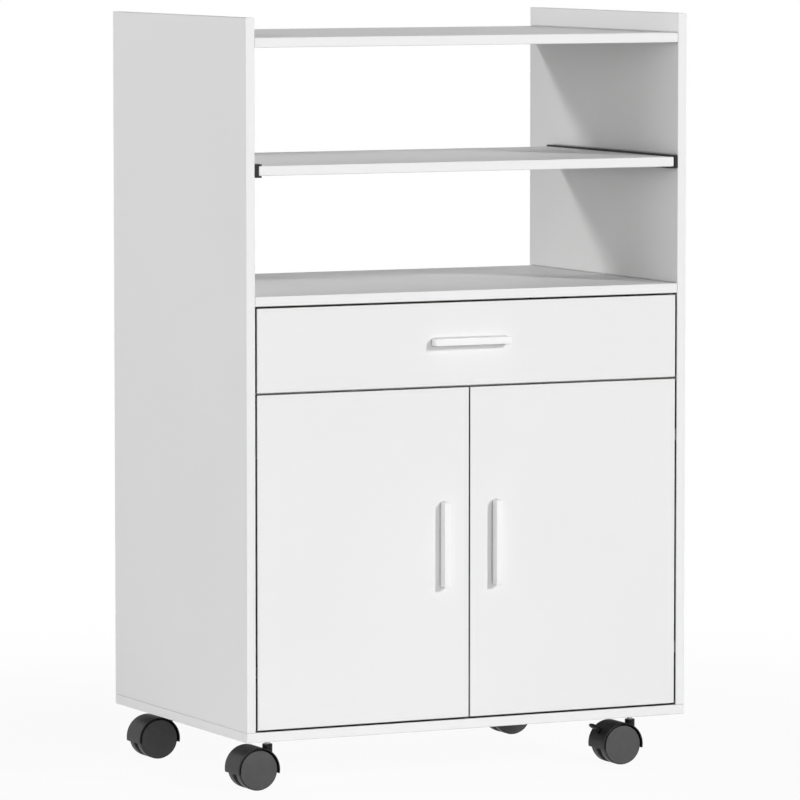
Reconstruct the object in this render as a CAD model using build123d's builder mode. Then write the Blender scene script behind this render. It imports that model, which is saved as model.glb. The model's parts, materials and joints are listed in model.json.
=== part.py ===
from build123d import *
import os
from math import atan2, cos, degrees, hypot, radians, sin

# Kitchen storage cabinet on four hooded twin-wheel casters.
# X runs to the right, Y from the front to the back, Z up. The origin lies on the floor,
# under the centre of the whole outline, handles included. All sizes are in millimetres.

# Boards
width = 600.0
depth = 400.0
board = 12.0
edge_ease = 0.6
shelf_setback = 4.0

# Small fasteners and hidden turned pieces are drawn with few sides, and so are their holes
fastener_sides = 6
turned_sides = 8

# Heights, from the floor up
caster_height = 64.0
door_height = 406.0
drawer_front_height = 102.0
lower_bay = 145.0
upper_bay = 141.5
side_rise = 24.0

# Gaps round the fronts
front_gap = 2.4
door_gap = 1.8

# Thin back panel, held in grooves
back_thickness = 3.0
groove_depth = 5.0
groove_play = 0.1
back_inset = 10.0

# Handles: one waisted bar section for all three
handle_length = 104.0
handle_width = 8.5
handle_projection = 12.5
handle_edge = 1.5
handle_waist = 1.4
handle_bevel = 0.5
handle_screw_spacing = 64.0
handle_screw_radius = 2.0
handle_screw_bite = 8.0
handle_screw_head = 3.5
handle_screw_head_height = 2.0
handle_to_edge = 34.7
handle_above_middle = 11.3
drawer_handle_above_middle = 3.2

# Cross rail and cupboard shelf
rail_depth = 60.0
rail_swing_gap = 0.6
cupboard_shelf_setback = 40.0
cupboard_shelf_back_gap = 7.0
cupboard_shelf_play = 0.5
cupboard_shelf_height = 196.0
pin_radius = 2.5
pin_length = 16.0
pin_hole_depth = 8.0
pin_pitch = 32.0
pin_from_shelf_edge = 40.0

# Cam fittings: a bolt screwed into one board, drawn into a cam in the other
cam_radius = 7.0
cam_depth = 9.0
cam_inset = 24.0
cam_play = 0.1
cam_from_edge = 50.0
bolt_radius = 2.5
bolt_bite = 8.5

# Sliding shelf in its U rails
slide_depth = 332.0
slide_travel = 180.0
rail_web = 4.2
rail_lip = 2.0
rail_reach = 9.0
rail_play = 0.2
rail_corner = 1.4
shelf_side_play = 1.3
rail_end = 2.0
rail_end_play = 1.0
peg_radius = 1.6
peg_length = 10.0
peg_out = 3.0
peg_from_back = 16.0
peg_slot_depth = 2.4
peg_play = 0.4

# Drawer box
box_height = 80.0
box_back_gap = 25.0
box_above_rail = 8.0
box_cam_low = 24.0
box_cam_high = 60.0
drawer_bottom_thickness = 3.0
drawer_bottom_lift = 10.0
drawer_groove_depth = 5.0

# Roller runners
runner_space = 12.7
runner_steel = 1.2
runner_setback = 4.0
runner_from_box_back = 6.0
track_height = 20.0
track_reach = 10.8
track_lip = 3.0
roller_radius = 8.5
roller_width = 6.0
roller_bore = 2.0
roller_play = 0.05
roller_lift = 0.1
roller_end_play = 0.15
rivet_head_height = 1.0
track_roller_shoulder = 1.0
drawer_roller_shoulder = 2.0
track_above_box = 1.0
track_cutback = 30.0
track_roller_inset = 12.0
drawer_roller_inset = 7.0
runner_screw_height = 14.0
runner_foot = 10.0
runner_arm = 8.4
drawer_travel = 260.0
rivet_head = 3.2

# Door hinges: a steel arm on the side panel turns on a pin in a cup in the door
hinge_inset = 8.0
hinge_from_end = 70.0
hinge_strip = 1.5
hinge_width = 12.0
hinge_eye = 2.5
hinge_pin = 1.5
hinge_pin_play = 0.05
hinge_knee = 10.2
hinge_bend = 1.6
hinge_reach = 34.0
hinge_screw_spots = (12.0, 27.0)
cup_radius = 13.0
cup_wall = 0.9
cup_centre = 2.0
cup_front_skin = 2.2
cup_play = 0.1
cup_flange = 1.0
cup_flange_half_height = 24.0
cup_flange_width = 21.0
cup_flange_margin = 1.0
cup_screw_offset = 19.0
lug_play = 0.3
lug_thickness = 2.0
lug_width = 6.0

# Magnetic catches under the cross rail, and their strike plates
catch_width = 30.0
catch_depth = 14.0
catch_height = 9.0
catch_from_middle = 60.0
catch_play = 0.3
catch_pole = 1.5
strike_thickness = 1.0

# Screws
screw_radius = 1.5
screw_head = 3.2
screw_head_height = 1.6
screw_bite = 8.0
rail_screw_inset = 40.0
rail_screw_head_height = 1.0

# Casters
caster_inset = 50.0
wheel_radius = 25.0
wheel_width = 14.6
wheel_wall = 3.5
wheel_disc = 2.6
wheel_hub = 8.0
wheel_sides = 50
wheel_recess_sides = 12
wheel_side_play = 0.5
trail = 20.0
hood_gap = 1.3
hood_wall = 1.4
hood_drop = 4.7
hood_core = 9.8
hood_inside_sides = 24
boss_radius = 6.2
boss_below_panel = 9.8
stem_radius = 3.4
stem_play = 0.05
stem_depth = 24.0
stem_thread_radius = 4.0
stem_hex = 6.5
stem_hex_height = 4.0
insert_radius = 5.5
insert_depth = 10.5
insert_flange = 8.5
insert_flange_thickness = 1.2
axle_radius = 2.5
axle_play = 0.05
axle_half = 18.5
axle_end_gap = 0.6

# Brake lever of the right casters
brake_pivot_x = -15.0
brake_pivot_z = 15.0
brake_pin_radius = 1.5
brake_hub = 3.2
brake_blade = 4.0
brake_play = 0.3
brake_travel = 28.0
brake_arm_angle = 154.0
brake_arm_reach = 18.0
brake_arm_width = 3.0
brake_paddle_width = 13.0
brake_paddle_length = 7.0
brake_paddle_thickness = 3.6
brake_paddle_round = 3.0
brake_shoe_x = -16.4
brake_shoe_z = 2.0
brake_shoe_radius = 2.0
brake_shoe_reach = 8.5

os.makedirs("parts", exist_ok=True)

# Planes and levels worked out from the sizes above
front_y = (handle_projection - depth) / 2
back_y = front_y + depth
shelf_back_y = back_y - shelf_setback
inner_half = width / 2 - board
z_bottom = caster_height
z_floor = z_bottom + board
z_door = z_floor + front_gap
z_door_top = z_door + door_height
z_drawer = z_door_top + front_gap
z_drawer_top = z_drawer + drawer_front_height
z_counter = z_drawer_top + front_gap
z_counter_top = z_counter + board
z_slide = z_counter_top + lower_bay
z_slide_top = z_slide + board
z_top_shelf = z_slide_top + upper_bay
z_top_face = z_top_shelf + board
z_top = z_top_face + side_rise
z_rail = (z_door_top + z_drawer - board) / 2
pivot_x = inner_half - front_gap - hinge_inset
pivot_y = front_y + board / 2
door_swing = hypot(hinge_inset, board / 2)
rail_y = pivot_y + door_swing + rail_swing_gap
back_panel_y = back_y - back_inset - back_thickness
back_groove_top = z_counter + groove_depth
door_width = (2 * inner_half - 2 * front_gap - door_gap) / 2
SIDES = (-1, 1)


def save(piece, name):
    """Labels a finished piece and writes it under its own name."""
    piece.part.label = name
    export_step(piece.part, f"parts/{name}.step")


def board_block(size_x, size_y, size_z, low_corner):
    """A board with eased edges, from its lowest left front corner."""
    x, y, z = low_corner
    with BuildPart() as block:
        with BuildSketch(Plane.XY.offset(z)):
            with Locations((x + size_x / 2, y + size_y / 2)):
                Rectangle(size_x, size_y)
        extrude(amount=size_z)
        chamfer(block.edges(), edge_ease)
    return block.part


def mirrored(part):
    """The same piece for the other side of the cabinet."""
    return part.mirror(Plane.YZ)


# Cam fitting in its own frame: the origin is where the two boards meet, at mid thickness,
# X runs into the board that holds the cam, and Z points out of that board's cam face.
with BuildPart() as cam:
    with BuildSketch(Plane.XY.offset(board / 2)):
        with Locations((cam_inset, 0)):
            RegularPolygon(cam_radius, turned_sides)
    extrude(amount=-cam_depth)

with BuildPart() as cam_bolt:
    with BuildSketch(Plane.YZ.offset(-bolt_bite)):
        RegularPolygon(bolt_radius, fastener_sides)
    extrude(amount=bolt_bite + cam_inset - cam_radius)

with BuildPart() as cam_pocket:
    with BuildSketch(Plane.XY.offset(board / 2)):
        with Locations((cam_inset, 0)):
            RegularPolygon(cam_radius + cam_play, turned_sides)
    extrude(amount=-cam_depth - cam_play)
    with BuildSketch(Plane.YZ):
        RegularPolygon(bolt_radius, fastener_sides)
    extrude(amount=cam_inset)

with BuildPart() as bolt_socket:
    with BuildSketch(Plane.YZ):
        RegularPolygon(bolt_radius, fastener_sides)
    extrude(amount=-bolt_bite)

# Where boards meet: the shelves and the cross rail on the sides, the sides on the bottom
cam_rows = (front_y + cam_from_edge, back_y - cam_from_edge - shelf_setback)
rail_rows = (rail_y + rail_depth / 2,)
shelf_joints = {}
for name, level, rows in (
    ("top_shelf", z_top_shelf, cam_rows),
    ("counter_shelf", z_counter, cam_rows),
    ("divider_rail", z_rail, rail_rows),
):
    shelf_joints[name] = [
        Plane(
            origin=(side * inner_half, y, level + board / 2),
            x_dir=(-side, 0, 0),
            z_dir=(0, 0, -1),
        )
        for side in SIDES
        for y in rows
    ]
foot_joints = {
    side: [
        Plane(
            origin=(side * (inner_half + board / 2), y, z_floor),
            x_dir=(0, 0, 1),
            z_dir=(-side, 0, 0),
        )
        for y in cam_rows
    ]
    for side in SIDES
}
all_shelf_joints = [joint for joints in shelf_joints.values() for joint in joints]
all_joints = all_shelf_joints + foot_joints[-1] + foot_joints[1]

# Places that several pieces share, in the plane of the side panels
slide_middle = z_slide + board / 2
rail_length = slide_depth + rail_end_play + rail_end
rail_height = board + 2 * (rail_play + rail_lip)
peg_y = front_y + slide_depth - peg_from_back
rail_screws = [
    (front_y + rail_screw_inset + step * (rail_length - 2 * rail_screw_inset) / 2, slide_middle)
    for step in range(3)
]
box_front = front_y + board
box_back = back_panel_y - box_back_gap
box_depth = box_back - box_front
z_box = z_rail + board + box_above_rail
z_track = z_box + track_above_box
track_front = box_front + runner_setback
runner_length = box_back - runner_from_box_back - track_front
track_screw_z = z_track + track_height / 2
track_screws = [
    (track_front + 2 * track_roller_inset + rail_screw_inset, track_screw_z),
    (track_front + runner_length - rail_screw_inset, track_screw_z),
]
runner_screws = [(y, z_track + runner_screw_height) for y, z in track_screws]
hinge_levels = (z_door + hinge_from_end, z_door_top - hinge_from_end)
hinge_screws = [
    (pivot_y + hinge_knee + along, level) for level in hinge_levels for along in hinge_screw_spots
]
z_cupboard_shelf = z_floor + cupboard_shelf_height
cupboard_shelf_front = front_y + cupboard_shelf_setback
cupboard_shelf_back = back_panel_y - cupboard_shelf_back_gap
pin_ys = (cupboard_shelf_front + pin_from_shelf_edge, cupboard_shelf_back - pin_from_shelf_edge)
pin_z = z_cupboard_shelf - pin_radius

# Side panels
for side, name in ((-1, "left_side_panel"), (1, "right_side_panel")):
    low_x = side * (inner_half + board / 2) - board / 2
    with BuildPart() as side_panel:
        add(board_block(board, depth, z_top - z_floor, (low_x, front_y, z_floor)))
        with Locations(*foot_joints[side]):
            add(cam_pocket.part, mode=Mode.SUBTRACT)
        with Locations(*[j for j in all_shelf_joints if j.origin.X * side > 0]):
            add(bolt_socket.part, mode=Mode.SUBTRACT)
        with BuildSketch(Plane.YZ.offset(side * inner_half)):
            with Locations((back_panel_y + back_thickness / 2, (z_floor + back_groove_top) / 2)):
                Rectangle(back_thickness + 2 * groove_play, back_groove_top - z_floor)
        extrude(amount=side * groove_depth, mode=Mode.SUBTRACT)
        with BuildSketch(Plane.YZ.offset(side * inner_half)):
            with Locations(*[(y, pin_z + step * pin_pitch) for y in pin_ys for step in (-1, 0, 1)]):
                RegularPolygon(pin_radius, turned_sides)
        extrude(amount=side * pin_hole_depth, mode=Mode.SUBTRACT)
        with BuildSketch(Plane.YZ.offset(side * inner_half)):
            with Locations(*rail_screws, *track_screws, *hinge_screws):
                RegularPolygon(screw_radius, fastener_sides)
        extrude(amount=side * screw_bite, mode=Mode.SUBTRACT)
    save(side_panel, name)

# Bottom panel, with the stems' insert nuts and the sides' bolts
stem_places = [
    (x * (width / 2 - caster_inset), y)
    for x in SIDES
    for y in (front_y + caster_inset, back_y - caster_inset)
]
with BuildPart() as bottom_panel:
    add(board_block(width, depth, board, (-width / 2, front_y, z_bottom)))
    with Locations(*foot_joints[-1], *foot_joints[1]):
        add(bolt_socket.part, mode=Mode.SUBTRACT)
    with BuildSketch(Plane.XY.offset(z_floor)):
        with Locations((0, back_panel_y + back_thickness / 2)):
            Rectangle(2 * (inner_half + groove_depth), back_thickness + 2 * groove_play)
    extrude(amount=-groove_depth, mode=Mode.SUBTRACT)
    with BuildSketch(Plane.XY.offset(z_bottom)):
        with Locations(*stem_places):
            RegularPolygon(insert_radius, turned_sides)
    extrude(amount=board, mode=Mode.SUBTRACT)
save(bottom_panel, "bottom_panel")

# Top shelf, counter shelf and cross rail, each with its cams
fixed_depth = shelf_back_y - front_y
with BuildPart() as top_shelf:
    add(board_block(2 * inner_half, fixed_depth, board, (-inner_half, front_y, z_top_shelf)))
    with Locations(*shelf_joints["top_shelf"]):
        add(cam_pocket.part, mode=Mode.SUBTRACT)
save(top_shelf, "top_shelf")

with BuildPart() as counter_shelf:
    add(board_block(2 * inner_half, fixed_depth, board, (-inner_half, front_y, z_counter)))
    with Locations(*shelf_joints["counter_shelf"]):
        add(cam_pocket.part, mode=Mode.SUBTRACT)
    with BuildSketch(Plane.XY.offset(z_counter)):
        with Locations((0, back_panel_y + back_thickness / 2)):
            Rectangle(2 * inner_half, back_thickness + 2 * groove_play)
    extrude(amount=groove_depth, mode=Mode.SUBTRACT)
save(counter_shelf, "counter_shelf")

with BuildPart() as divider_rail:
    add(board_block(2 * inner_half, rail_depth, board, (-inner_half, rail_y, z_rail)))
    with Locations(*shelf_joints["divider_rail"]):
        add(cam_pocket.part, mode=Mode.SUBTRACT)
save(divider_rail, "divider_rail")

# Back panel of the closed part, let into grooves on all four sides
with BuildPart() as back_panel:
    with BuildSketch(Plane.XZ.offset(-back_panel_y)):
        with Locations((0, (z_floor + z_counter) / 2)):
            Rectangle(
                2 * (inner_half + groove_depth - groove_play),
                z_counter - z_floor + 2 * (groove_depth - groove_play),
            )
    extrude(amount=-back_thickness)
save(back_panel, "back_panel")

with BuildPart() as cam_locks:
    with Locations(*all_joints):
        add(cam.part)
save(cam_locks, "cam_locks")

with BuildPart() as cam_bolts:
    with Locations(*all_joints):
        add(cam_bolt.part)
save(cam_bolts, "cam_bolts")

# Cupboard shelf on four pins
shelf_half = inner_half - cupboard_shelf_play
with BuildPart() as adjustable_shelf:
    shelf_corner = (-shelf_half, cupboard_shelf_front, z_cupboard_shelf)
    shelf_depth = cupboard_shelf_back - cupboard_shelf_front
    add(board_block(2 * shelf_half, shelf_depth, board, shelf_corner))
save(adjustable_shelf, "adjustable_shelf")

with BuildPart() as shelf_pins:
    for side in SIDES:
        with BuildSketch(Plane.YZ.offset(side * (inner_half + pin_hole_depth))):
            with Locations(*[(y, pin_z) for y in pin_ys]):
                RegularPolygon(pin_radius, turned_sides)
        extrude(amount=-side * pin_length)
save(shelf_pins, "shelf_pins")

# Room for one screw in a rail: its head lies below the floor of the peg's slot
with BuildPart() as rail_screw_hole:
    with BuildSketch(Plane.YZ):
        RegularPolygon(screw_head, fastener_sides)
    extrude(amount=peg_slot_depth + rail_screw_head_height)
    with BuildSketch(Plane.YZ):
        RegularPolygon(screw_radius, fastener_sides)
    extrude(amount=rail_web)

# U rails of the sliding shelf: open at the front, closed at the back, with a slot for the peg
with BuildPart() as right_rail:
    with BuildSketch(Plane.XZ.offset(-front_y)) as rail_section:
        with Locations((inner_half - rail_reach / 2, slide_middle)):
            Rectangle(rail_reach, rail_height)
        fillet(rail_section.vertices().group_by(Axis.X)[-1], rail_corner)
        with Locations((inner_half - rail_web - rail_reach / 2, slide_middle)):
            Rectangle(rail_reach, board + 2 * rail_play, mode=Mode.SUBTRACT)
    extrude(amount=-rail_length)
    with BuildSketch(Plane.XZ.offset(-front_y - rail_length + rail_end)):
        with Locations((inner_half - rail_reach / 2, slide_middle)):
            Rectangle(rail_reach, board + 2 * rail_play + rail_lip)
    extrude(amount=-rail_end)
    with BuildSketch(Plane.YZ.offset(inner_half - rail_web)):
        with Locations((peg_y - slide_travel / 2, slide_middle)):
            SlotOverall(slide_travel + 2 * (peg_radius + peg_play), 2 * (peg_radius + peg_play))
    extrude(amount=peg_slot_depth, mode=Mode.SUBTRACT)
    with Locations(*[(inner_half - rail_web, y, z) for y, z in rail_screws]):
        add(rail_screw_hole.part, mode=Mode.SUBTRACT)

with BuildPart() as shelf_rails:
    add(right_rail.part)
    add(mirrored(right_rail.part))
save(shelf_rails, "shelf_rails")

# Sliding shelf and the pegs that stop it
slide_half = inner_half - rail_web - shelf_side_play
with BuildPart() as sliding_shelf:
    add(board_block(2 * slide_half, slide_depth, board, (-slide_half, front_y, z_slide)))
    for side in SIDES:
        with BuildSketch(Plane.YZ.offset(side * slide_half)):
            with Locations((peg_y, slide_middle)):
                RegularPolygon(peg_radius, turned_sides)
        extrude(amount=-side * (peg_length - peg_out), mode=Mode.SUBTRACT)
save(sliding_shelf, "sliding_shelf")

with BuildPart() as shelf_stop_pegs:
    for side in SIDES:
        with BuildSketch(Plane.YZ.offset(side * (slide_half + peg_out))):
            with Locations((peg_y, slide_middle)):
                RegularPolygon(peg_radius, turned_sides)
        extrude(amount=-side * peg_length)
save(shelf_stop_pegs, "shelf_stop_pegs")


def roller_stub(shoulder):
    """A stub that carries a roller between its shoulder and its rivet head."""
    roller_space = roller_width + 2 * roller_end_play
    with BuildPart() as stub:
        with BuildSketch(Plane.YZ):
            RegularPolygon(rivet_head, turned_sides)
        extrude(amount=shoulder)
        with BuildSketch(Plane.YZ.offset(shoulder)):
            Circle(roller_bore)
        extrude(amount=roller_space)
        with BuildSketch(Plane.YZ.offset(shoulder + roller_space)):
            RegularPolygon(rivet_head, turned_sides)
        extrude(amount=rivet_head_height)
    return stub.part


# Runner tracks on the side panels, with the stub that carries the front roller.
# The section is drawn for the right side: X falls away from the side panel.
track_x = inner_half
roller_y = track_front + track_roller_inset
track_roller_z = z_track + track_height + runner_steel / 2 - roller_radius
with BuildPart() as right_track:
    with BuildSketch(Plane.XZ.offset(-track_front)):
        with BuildLine():
            Polyline(
                (track_x, z_track),
                (track_x - track_reach, z_track),
                (track_x - track_reach, z_track + track_lip),
                (track_x - track_reach + runner_steel / 2, z_track + track_lip),
                (track_x - track_reach + runner_steel / 2, z_track + runner_steel),
                (track_x - runner_steel, z_track + runner_steel),
                (track_x - runner_steel, z_track + track_height - runner_steel),
                (track_x - track_reach, z_track + track_height - runner_steel),
                (track_x - track_reach, z_track + track_height),
                (track_x, z_track + track_height),
                close=True,
            )
        make_face()
    extrude(amount=-runner_length)
    with BuildSketch(Plane.XY.offset(z_track + track_height)):
        with Locations((track_x - runner_steel - track_reach / 2, track_front + track_cutback / 2)):
            Rectangle(track_reach, track_cutback)
    extrude(amount=-2 * runner_steel, mode=Mode.SUBTRACT)
    with Locations(Location((track_x - runner_steel, roller_y, track_roller_z), (0, 0, 180))):
        add(roller_stub(track_roller_shoulder))
    with BuildSketch(Plane.YZ.offset(track_x)):
        with Locations(*track_screws):
            RegularPolygon(screw_radius, fastener_sides)
    extrude(amount=-runner_steel, mode=Mode.SUBTRACT)

with BuildPart() as runner_tracks:
    add(right_track.part)
    add(mirrored(right_track.part))
save(runner_tracks, "runner_tracks")

# Drawer runners under the box sides, with the stub that carries the rear roller
box_half = inner_half - runner_space
runner_top = track_roller_z + roller_radius + roller_lift + runner_steel
drawer_roller_y = track_front + runner_length - drawer_roller_inset
drawer_roller_z = z_track + runner_steel + roller_radius + roller_lift
runner_side = box_half + runner_steel
with BuildPart() as right_runner:
    with BuildSketch(Plane.XZ.offset(-track_front)):
        with BuildLine():
            Polyline(
                (box_half - runner_foot, z_box - runner_steel),
                (runner_side, z_box - runner_steel),
                (runner_side, runner_top - runner_steel),
                (runner_side + runner_arm, runner_top - runner_steel),
                (runner_side + runner_arm, runner_top),
                (box_half, runner_top),
                (box_half, z_box),
                (box_half - runner_foot, z_box),
                close=True,
            )
        make_face()
    extrude(amount=-runner_length)
    with Locations((runner_side, drawer_roller_y, drawer_roller_z)):
        add(roller_stub(drawer_roller_shoulder))
    with BuildSketch(Plane.YZ.offset(runner_side)):
        with Locations(*runner_screws):
            RegularPolygon(screw_radius, fastener_sides)
    extrude(amount=-runner_steel, mode=Mode.SUBTRACT)

with BuildPart() as drawer_runners:
    add(right_runner.part)
    add(mirrored(right_runner.part))
save(drawer_runners, "drawer_runners")


# Rollers
with BuildPart() as roller:
    with BuildSketch(Plane.YZ):
        Circle(roller_radius)
        Circle(roller_bore + roller_play, mode=Mode.SUBTRACT)
    extrude(amount=roller_width)

with BuildPart() as right_track_roller:
    track_roller_x = track_x - runner_steel - track_roller_shoulder - roller_end_play
    with Locations(Location((track_roller_x, roller_y, track_roller_z), (0, 0, 180))):
        add(roller.part)

with BuildPart() as track_rollers:
    add(right_track_roller.part)
    add(mirrored(right_track_roller.part))
save(track_rollers, "track_rollers")

with BuildPart() as right_drawer_roller:
    drawer_roller_x = runner_side + drawer_roller_shoulder + roller_end_play
    with Locations((drawer_roller_x, drawer_roller_y, drawer_roller_z)):
        add(roller.part)

with BuildPart() as drawer_rollers:
    add(right_drawer_roller.part)
    add(mirrored(right_drawer_roller.part))
save(drawer_rollers, "drawer_rollers")

# Drawer boards, with cam fittings at the front and the back
box_inner = box_half - board
front_half = inner_half - front_gap
z_bottom_groove = z_box + drawer_bottom_lift
box_heights = (z_box + box_cam_low, z_box + box_cam_high)
front_joints = [
    Plane(origin=(side * (box_half - board / 2), box_front, z), x_dir=(0, 1, 0), z_dir=(-side, 0, 0))
    for side in SIDES
    for z in box_heights
]
rear_joints = [
    Plane(origin=(side * box_inner, box_back - board / 2, z), x_dir=(-side, 0, 0), z_dir=(0, 1, 0))
    for side in SIDES
    for z in box_heights
]
bottom_half = box_inner + drawer_groove_depth - groove_play
bottom_front = box_front - drawer_groove_depth + groove_play
bottom_back = box_back - board + drawer_groove_depth - groove_play


def bottom_groove():
    """The flat space that the drawer bottom and its play take in the boards around it."""
    with BuildPart() as groove:
        with BuildSketch(Plane.XY.offset(z_bottom_groove - groove_play)):
            with Locations((0, (bottom_front + bottom_back) / 2)):
                Rectangle(
                    2 * (bottom_half + groove_play),
                    bottom_back - bottom_front + 2 * groove_play,
                )
        extrude(amount=drawer_bottom_thickness + 2 * groove_play)
    return groove.part


handle_x = door_gap / 2 + handle_to_edge
handle_z = z_door + door_height / 2 + handle_above_middle
drawer_handle_z = z_drawer + drawer_front_height / 2 + drawer_handle_above_middle
screw_offsets = (-handle_screw_spacing / 2, handle_screw_spacing / 2)

with BuildPart() as drawer_front:
    add(board_block(2 * front_half, board, drawer_front_height, (-front_half, front_y, z_drawer)))
    add(bottom_groove(), mode=Mode.SUBTRACT)
    with Locations(*front_joints):
        add(bolt_socket.part, mode=Mode.SUBTRACT)
    with BuildSketch(Plane.XZ.offset(-front_y)):
        with Locations(*[(x, drawer_handle_z) for x in screw_offsets]):
            RegularPolygon(handle_screw_radius, fastener_sides)
    extrude(amount=-board, mode=Mode.SUBTRACT)
save(drawer_front, "drawer_front")

with BuildPart() as drawer_right_side:
    add(board_block(board, box_depth, box_height, (box_inner, box_front, z_box)))
    add(bottom_groove(), mode=Mode.SUBTRACT)
    with Locations(*[joint for joint in front_joints if joint.origin.X > 0]):
        add(cam_pocket.part, mode=Mode.SUBTRACT)
    with Locations(*[joint for joint in rear_joints if joint.origin.X > 0]):
        add(bolt_socket.part, mode=Mode.SUBTRACT)
    with BuildSketch(Plane.YZ.offset(box_half)):
        with Locations(*runner_screws):
            RegularPolygon(screw_radius, fastener_sides)
    extrude(amount=-screw_bite, mode=Mode.SUBTRACT)
save(drawer_right_side, "drawer_right_side")

with BuildPart() as drawer_left_side:
    add(mirrored(drawer_right_side.part))
save(drawer_left_side, "drawer_left_side")

with BuildPart() as drawer_back:
    add(board_block(2 * box_inner, board, box_height, (-box_inner, box_back - board, z_box)))
    add(bottom_groove(), mode=Mode.SUBTRACT)
    with Locations(*rear_joints):
        add(cam_pocket.part, mode=Mode.SUBTRACT)
save(drawer_back, "drawer_back")

with BuildPart() as drawer_bottom:
    with BuildSketch(Plane.XY.offset(z_bottom_groove)):
        with Locations((0, (bottom_front + bottom_back) / 2)):
            Rectangle(2 * bottom_half, bottom_back - bottom_front)
    extrude(amount=drawer_bottom_thickness)
save(drawer_bottom, "drawer_bottom")


def headed_screw(radius, length, head_radius, head_height):
    """A screw whose flat head stands on the plane Z = 0, with its shank along -Z."""
    with BuildPart() as screw:
        with BuildSketch(Plane.XY):
            RegularPolygon(radius, fastener_sides)
        extrude(amount=-length)
        with BuildSketch(Plane.XY):
            RegularPolygon(head_radius, fastener_sides)
        extrude(amount=head_height)
    return screw.part


handle_screw = headed_screw(
    handle_screw_radius, board + handle_screw_bite, handle_screw_head, handle_screw_head_height
)
track_screw = headed_screw(screw_radius, runner_steel + screw_bite, screw_head, screw_head_height)
arm_screw = headed_screw(screw_radius, hinge_strip + screw_bite, screw_head, screw_head_height)
cup_screw = headed_screw(screw_radius, cup_flange + screw_bite, screw_head, screw_head_height)
rail_screw_seat = rail_web - peg_slot_depth - rail_screw_head_height
rail_screw = headed_screw(
    screw_radius, rail_screw_seat + screw_bite, screw_head, rail_screw_head_height
)


def screws_from_back(places):
    """Planes for screws that are driven forwards into a front, from its back."""
    back_of_front = front_y + board
    return [Plane(origin=(x, back_of_front, z), x_dir=(1, 0, 0), z_dir=(0, 1, 0)) for x, z in places]


def screws_outwards(side, x, places):
    """Planes for screws that are driven sideways, away from the middle of the cabinet."""
    return [Plane(origin=(side * x, y, z), x_dir=(0, 1, 0), z_dir=(-side, 0, 0)) for y, z in places]


with BuildPart() as drawer_fixings:
    with Locations(*front_joints, *rear_joints):
        add(cam.part)
    with Locations(*front_joints, *rear_joints):
        add(cam_bolt.part)
    with Locations(*screws_from_back([(x, drawer_handle_z) for x in screw_offsets])):
        add(handle_screw)
    for side in SIDES:
        with Locations(*screws_outwards(-side, -runner_side, runner_screws)):
            add(track_screw)
save(drawer_fixings, "drawer_fixings")

with BuildPart() as cabinet_screws:
    for side in SIDES:
        with Locations(*screws_outwards(side, inner_half - rail_screw_seat, rail_screws)):
            add(rail_screw)
        with Locations(*screws_outwards(side, inner_half - runner_steel, track_screws)):
            add(track_screw)
        with Locations(*screws_outwards(side, inner_half - hinge_strip, hinge_screws)):
            add(arm_screw)
save(cabinet_screws, "cabinet_screws")

# Handle bar in its own frame: it lies along X, and its back rests on the plane Y = 0
half_bar = handle_width / 2
with BuildPart() as bar:
    with BuildSketch(Plane.YZ.offset(-handle_length / 2)):
        with BuildLine():
            for side in SIDES:
                Line((0, 0), (0, side * half_bar))
                Line((0, side * half_bar), (-handle_edge, side * half_bar))
                ThreePointArc(
                    (-handle_edge, side * half_bar),
                    (-handle_projection / 2, side * (half_bar - handle_waist)),
                    (handle_edge - handle_projection, side * half_bar),
                )
                Line(
                    (handle_edge - handle_projection, side * half_bar),
                    (-handle_projection, side * half_bar),
                )
                Line((-handle_projection, side * half_bar), (-handle_projection, 0))
        make_face()
    extrude(amount=handle_length)
    chamfer(bar.edges().filter_by(Axis.X).group_by(Axis.Y)[0], handle_bevel)

drawer_handle_screws = [(x, drawer_handle_z) for x in screw_offsets]
right_handle_screws = [(handle_x, handle_z + offset) for offset in screw_offsets]
left_handle_screws = [(-x, z) for x, z in right_handle_screws]
for name, place, screws in (
    ("drawer_handle", Location((0, front_y, drawer_handle_z)), drawer_handle_screws),
    ("left_door_handle", Location((-handle_x, front_y, handle_z), (0, 90, 0)), left_handle_screws),
    ("right_door_handle", Location((handle_x, front_y, handle_z), (0, 90, 0)), right_handle_screws),
):
    with BuildPart() as handle:
        with Locations(place):
            add(bar.part)
        with BuildSketch(Plane.XZ.offset(-front_y)):
            with Locations(*screws):
                RegularPolygon(handle_screw_radius, fastener_sides)
        extrude(amount=handle_screw_bite, mode=Mode.SUBTRACT)
    save(handle, name)

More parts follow.
